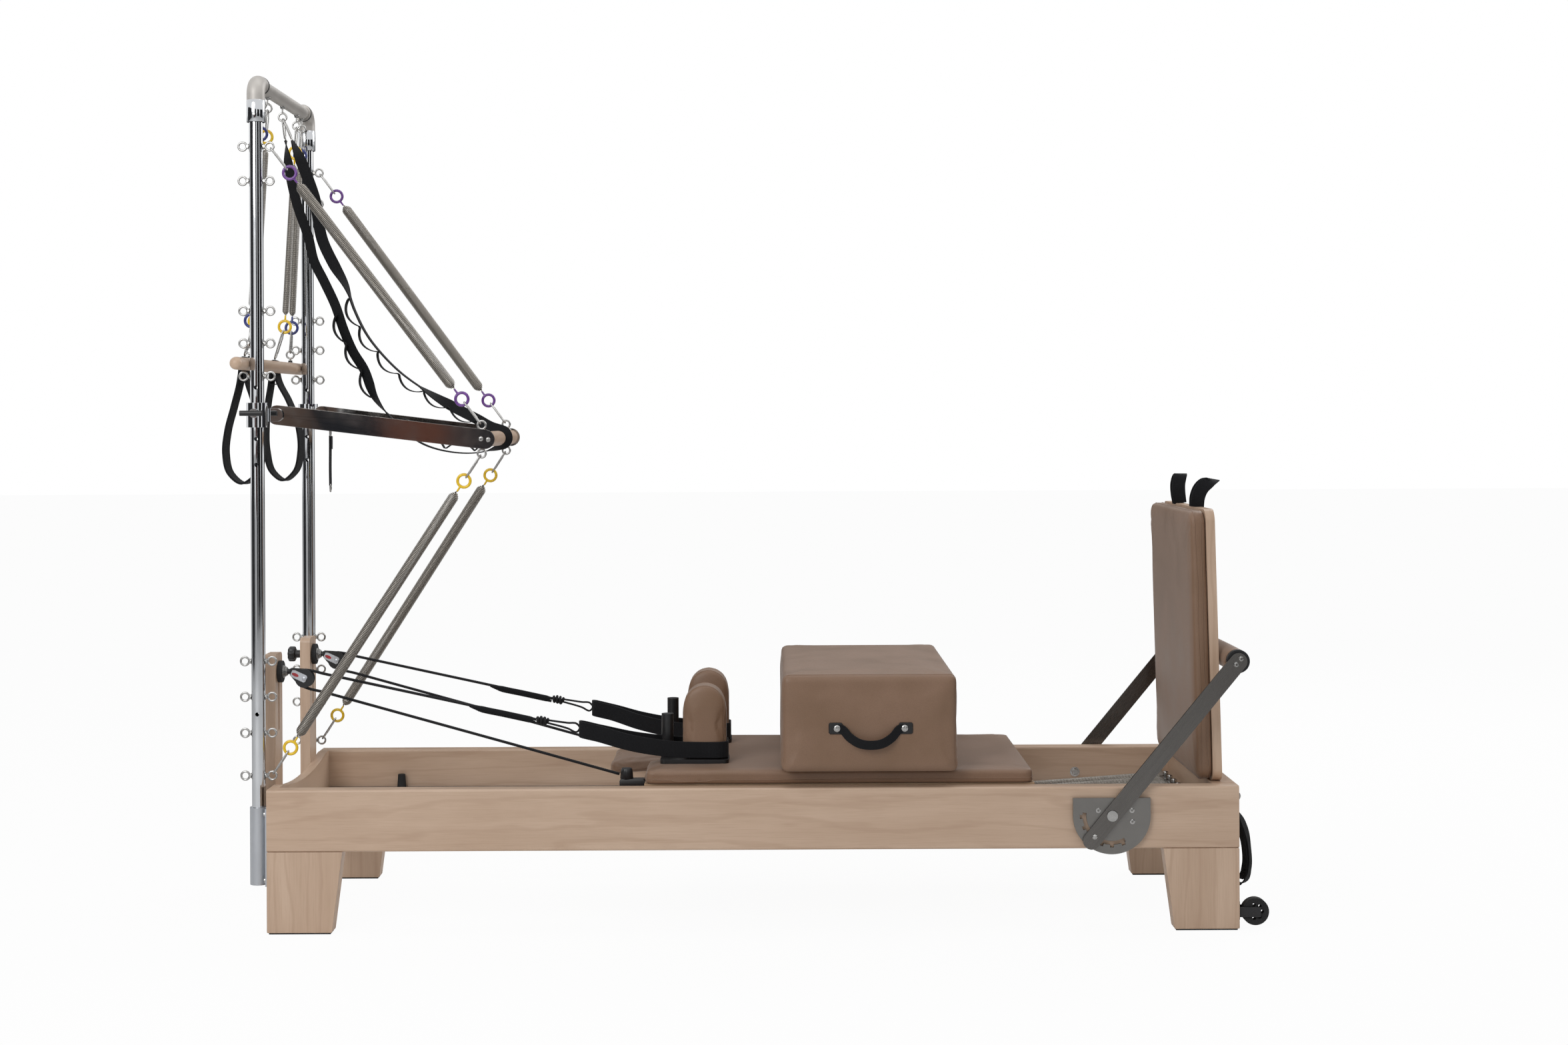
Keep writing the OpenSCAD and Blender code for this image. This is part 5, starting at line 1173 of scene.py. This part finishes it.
# Pulley faces: a pressed plate with an inlay and rivet on each cheek, and the clamp's spring
faces, inlays, clamp_coils = (
    Piece("pulley_face_plates"), Piece("pulley_inlays"), Piece("pulley_clamp_springs"))
slope = unit((-1146 + 1104, 0, 620 - 600.5))  # of the ropes where they reach the sheaves
face_shape = [(-20, -7), (-14, -9.5), (18, -9.5), (21, -6), (21, 6), (18, 9.5), (-14, 9.5),
              (-20, 7)]
lens_shape = round_section(1, 20) * (9, 4)
for side in (-1, 1):
    for cheek in (-1, 1):
        y, out = side * PULLEY_SIDE + cheek * 9.3, (0, cheek, 0)
        up = unit(np.cross(out, slope)) * cheek
        faces.add(plate(face_shape, (-1124, y, 609.5), out, up, 1.0))
        inlays.add(plate(lens_shape, (-1132, y + cheek, 612.6), out, up, 0.6))
        faces.add(lathe([(5, 0), (5, 1.2), (3.4, 2.2), (0, 2.4)],
                        (SHEAVE[0], y + cheek * 0.8, SHEAVE[1]), out, 24))
    coil = []
    for t in np.linspace(0, 5, 90):
        q = 15.6 - 7 * t / 5
        coil.append((-1164 + 11.5 * t / 5, side * PULLEY_SIDE + q * math.cos(2 * math.pi * t),
                     CLAMP_Z + q * math.sin(2 * math.pi * t)))
    clamp_coils.add(tube(coil, 1.1, 8))
faces.make(aluminium, "frame", "grey_steel")
inlays.make(red_enamel, "frame", "grey_steel")
clamp_coils.make(zinc, "frame", "chrome_steel")


def cap_screw(face, axis, r, height, sink=2.0):
    """A button-head screw with a socket, standing on a face."""
    top, floor = height + sink, height * 0.4 + sink
    return lathe([(r, 0), (r, height * 0.5 + sink), (r * 0.72, top), (r * 0.42, top + 0.1),
                  (r * 0.4, floor), (0, floor)],
                 np.asarray(face) - np.asarray(axis) * sink, axis, 24)


# Screws of the footbar's arms, screws of the gear plates, which the arms pass over, nuts of the
# pivots on the rails' inner faces, and the transport wheels' hub caps
ARM_FACE, GEAR_FACE, RAIL_INNER, WHEEL_SIDE = 358, 351, 295, 312
arm_screws, nuts, hubs = (
    Piece("footbar_arm_screws"), Piece("pivot_nuts"), Piece("transport_wheel_hubs"))
for side in (-1, 1):
    for along in (FOOT_ARM - 9, FOOT_ARM + 9, -66):
        x = FOOT_PIVOT[0] + along * math.cos(FOOT_ANGLE)
        z = FOOT_PIVOT[1] + along * math.sin(FOOT_ANGLE)
        arm_screws.add(cap_screw((x, side * ARM_FACE, z), (0, side, 0), 6.4, 3.6))
    for x, z in ((833, 293), (914, 293), (915, 266)):
        nuts.add(cap_screw((x, side * GEAR_FACE, z), (0, side, 0), 6.2, 0.7))
arm_screws.make(zinc, "footbar", "chrome_steel")
for side in (-1, 1):
    seat = (FOOT_PIVOT[0], side * RAIL_INNER, FOOT_PIVOT[1])
    nuts.add(lathe([(13, 0), (13, 1.5)], seat, (0, -side, 0), 32),
             lathe([(8.4, 1.5), (9, 2.2), (9, 8), (8.2, 9)], seat, (0, -side, 0), 6))
    for face in (-1, 1):
        hubs.add(lathe([(11.5, 0), (11, 0.8), (7, 1.2), (6, 1.2), (5.4, 0.6), (4.2, 0.6)],
                       (1217, side * WHEEL_SIDE + face * 11, 41), (0, face, 0), 32))
nuts.make(zinc, "frame", "chrome_steel")
hubs.make(zinc, "transport_wheels", "chrome_steel")

# Floor and light
floor_mesh = bpy.data.meshes.new("floor")
floor_mesh.from_pydata([(-30, -30, 0), (30, -30, 0), (30, 30, 0), (-30, 30, 0)], [], [(0, 1, 2, 3)])
floor = bpy.data.objects.new("floor", floor_mesh)
scene.collection.objects.link(floor)
# Matt white vinyl backdrop: the camera sees it almost as plain white, with a trace of shadow
floor_material, floor_tree, floor_shader = surface("white_backdrop", "#EDEDED", {"Roughness": 0.9})
seen = add(floor_tree, "ShaderNodeLightPath")
glow = add(floor_tree, "ShaderNodeEmission", {}, {"Color": (1, 1, 1, 1), "Strength": 1.0})
share = maths(floor_tree, "MULTIPLY", seen.outputs["Is Camera Ray"], 0.95)
mixed = add(floor_tree, "ShaderNodeMixShader", {}, {
    0: share, 1: floor_shader.outputs[0], 2: glow.outputs[0],
})
floor_tree.links.new(mixed.outputs[0], floor_tree.nodes["Material Output"].inputs[0])
floor_mesh.materials.append(floor_material)
floor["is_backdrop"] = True

world = bpy.data.worlds.new("studio")
world.use_nodes = True
scene.world = world
sky = world.node_tree
seen = add(sky, "ShaderNodeLightPath")
direct = maths(sky, "MAXIMUM", seen.outputs["Is Camera Ray"], seen.outputs["Is Glossy Ray"])
direct = maths(sky, "MAXIMUM", direct, seen.outputs["Is Transmission Ray"])
soft = add(sky, "ShaderNodeBackground", {}, {"Color": (1, 1, 1, 1), "Strength": 0.5})
white = add(sky, "ShaderNodeBackground", {}, {"Color": (1, 1, 1, 1), "Strength": 1.0})
choice = add(sky, "ShaderNodeMixShader", {}, {
    0: direct, 1: soft.outputs[0], 2: white.outputs[0],
})
sky.links.new(choice.outputs[0], sky.nodes["World Output"].inputs[0])


def softbox(name, place, aim, size, power):
    lamp = bpy.data.lights.new(name, "AREA")
    lamp.shape, lamp.size, lamp.size_y = "RECTANGLE", size[0], size[1]
    lamp.energy = power
    obj = bpy.data.objects.new(name, lamp)
    obj.location = place
    obj.rotation_euler = (Vector(aim) - Vector(place)).to_track_quat("-Z", "Y").to_euler()
    scene.collection.objects.link(obj)


softbox("key_softbox", (-2.6, -4.4, 3.4), (0, 0, 0.8), (2.6, 2.6), 100)
softbox("fill_softbox", (3.2, 3.0, 3.6), (0, 0, 0.6), (2.4, 2.4), 60)
softbox("top_softbox", (0, -0.4, 4.6), (0, 0, 0.5), (3.0, 1.6), 22)


def studio_board(name, code, corners):
    """A board that stands round the set and shows only in the polished metal's reflections."""
    mesh = bpy.data.meshes.new(name)
    mesh.from_pydata(corners, [], [(0, 1, 2, 3)])
    board = bpy.data.objects.new(name, mesh)
    board.visible_camera = board.visible_diffuse = board.visible_shadow = False
    scene.collection.objects.link(board)
    mesh.materials.append(surface(name, code, {"Roughness": 1.0})[0])
    board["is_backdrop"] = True


for name, code, start, end in (("black_board_right", "#0A0A0B", -70, -42),
                               ("grey_board_right", "#303034", -30, 12),
                               ("black_board_middle", "#0C0C0D", -99, -84),
                               ("grey_board_left", "#3C3C3E", -186, -134),
                               ("grey_board_behind", "#1C1C1E", 60, 118)):
    a, b = math.radians(start), math.radians(end)
    (x0, y0), (x1, y1) = [(7.5 * math.cos(t), 7.5 * math.sin(t)) for t in (a, b)]
    studio_board(name, code, [(x0, y0, -0.2), (x1, y1, -0.2), (x1, y1, 3.6), (x0, y0, 3.6)])
for name, code, x0, x1 in (("brown_board_low", "#6E5A50", -2.0, -1.74),
                           ("dark_board_low", "#30343C", -1.74, -1.46),
                           ("russet_board_low", "#84584A", -1.46, -1.2),
                           ("dark_board_low_right", "#3A3B40", -1.2, -0.8)):
    studio_board(name, code, [(x0, -3.4, 0.9), (x1, -3.4, 0.9), (x1, -3.4, 1.45), (x0, -3.4, 1.45)])

scene.view_settings.view_transform = "Standard"

low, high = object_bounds()
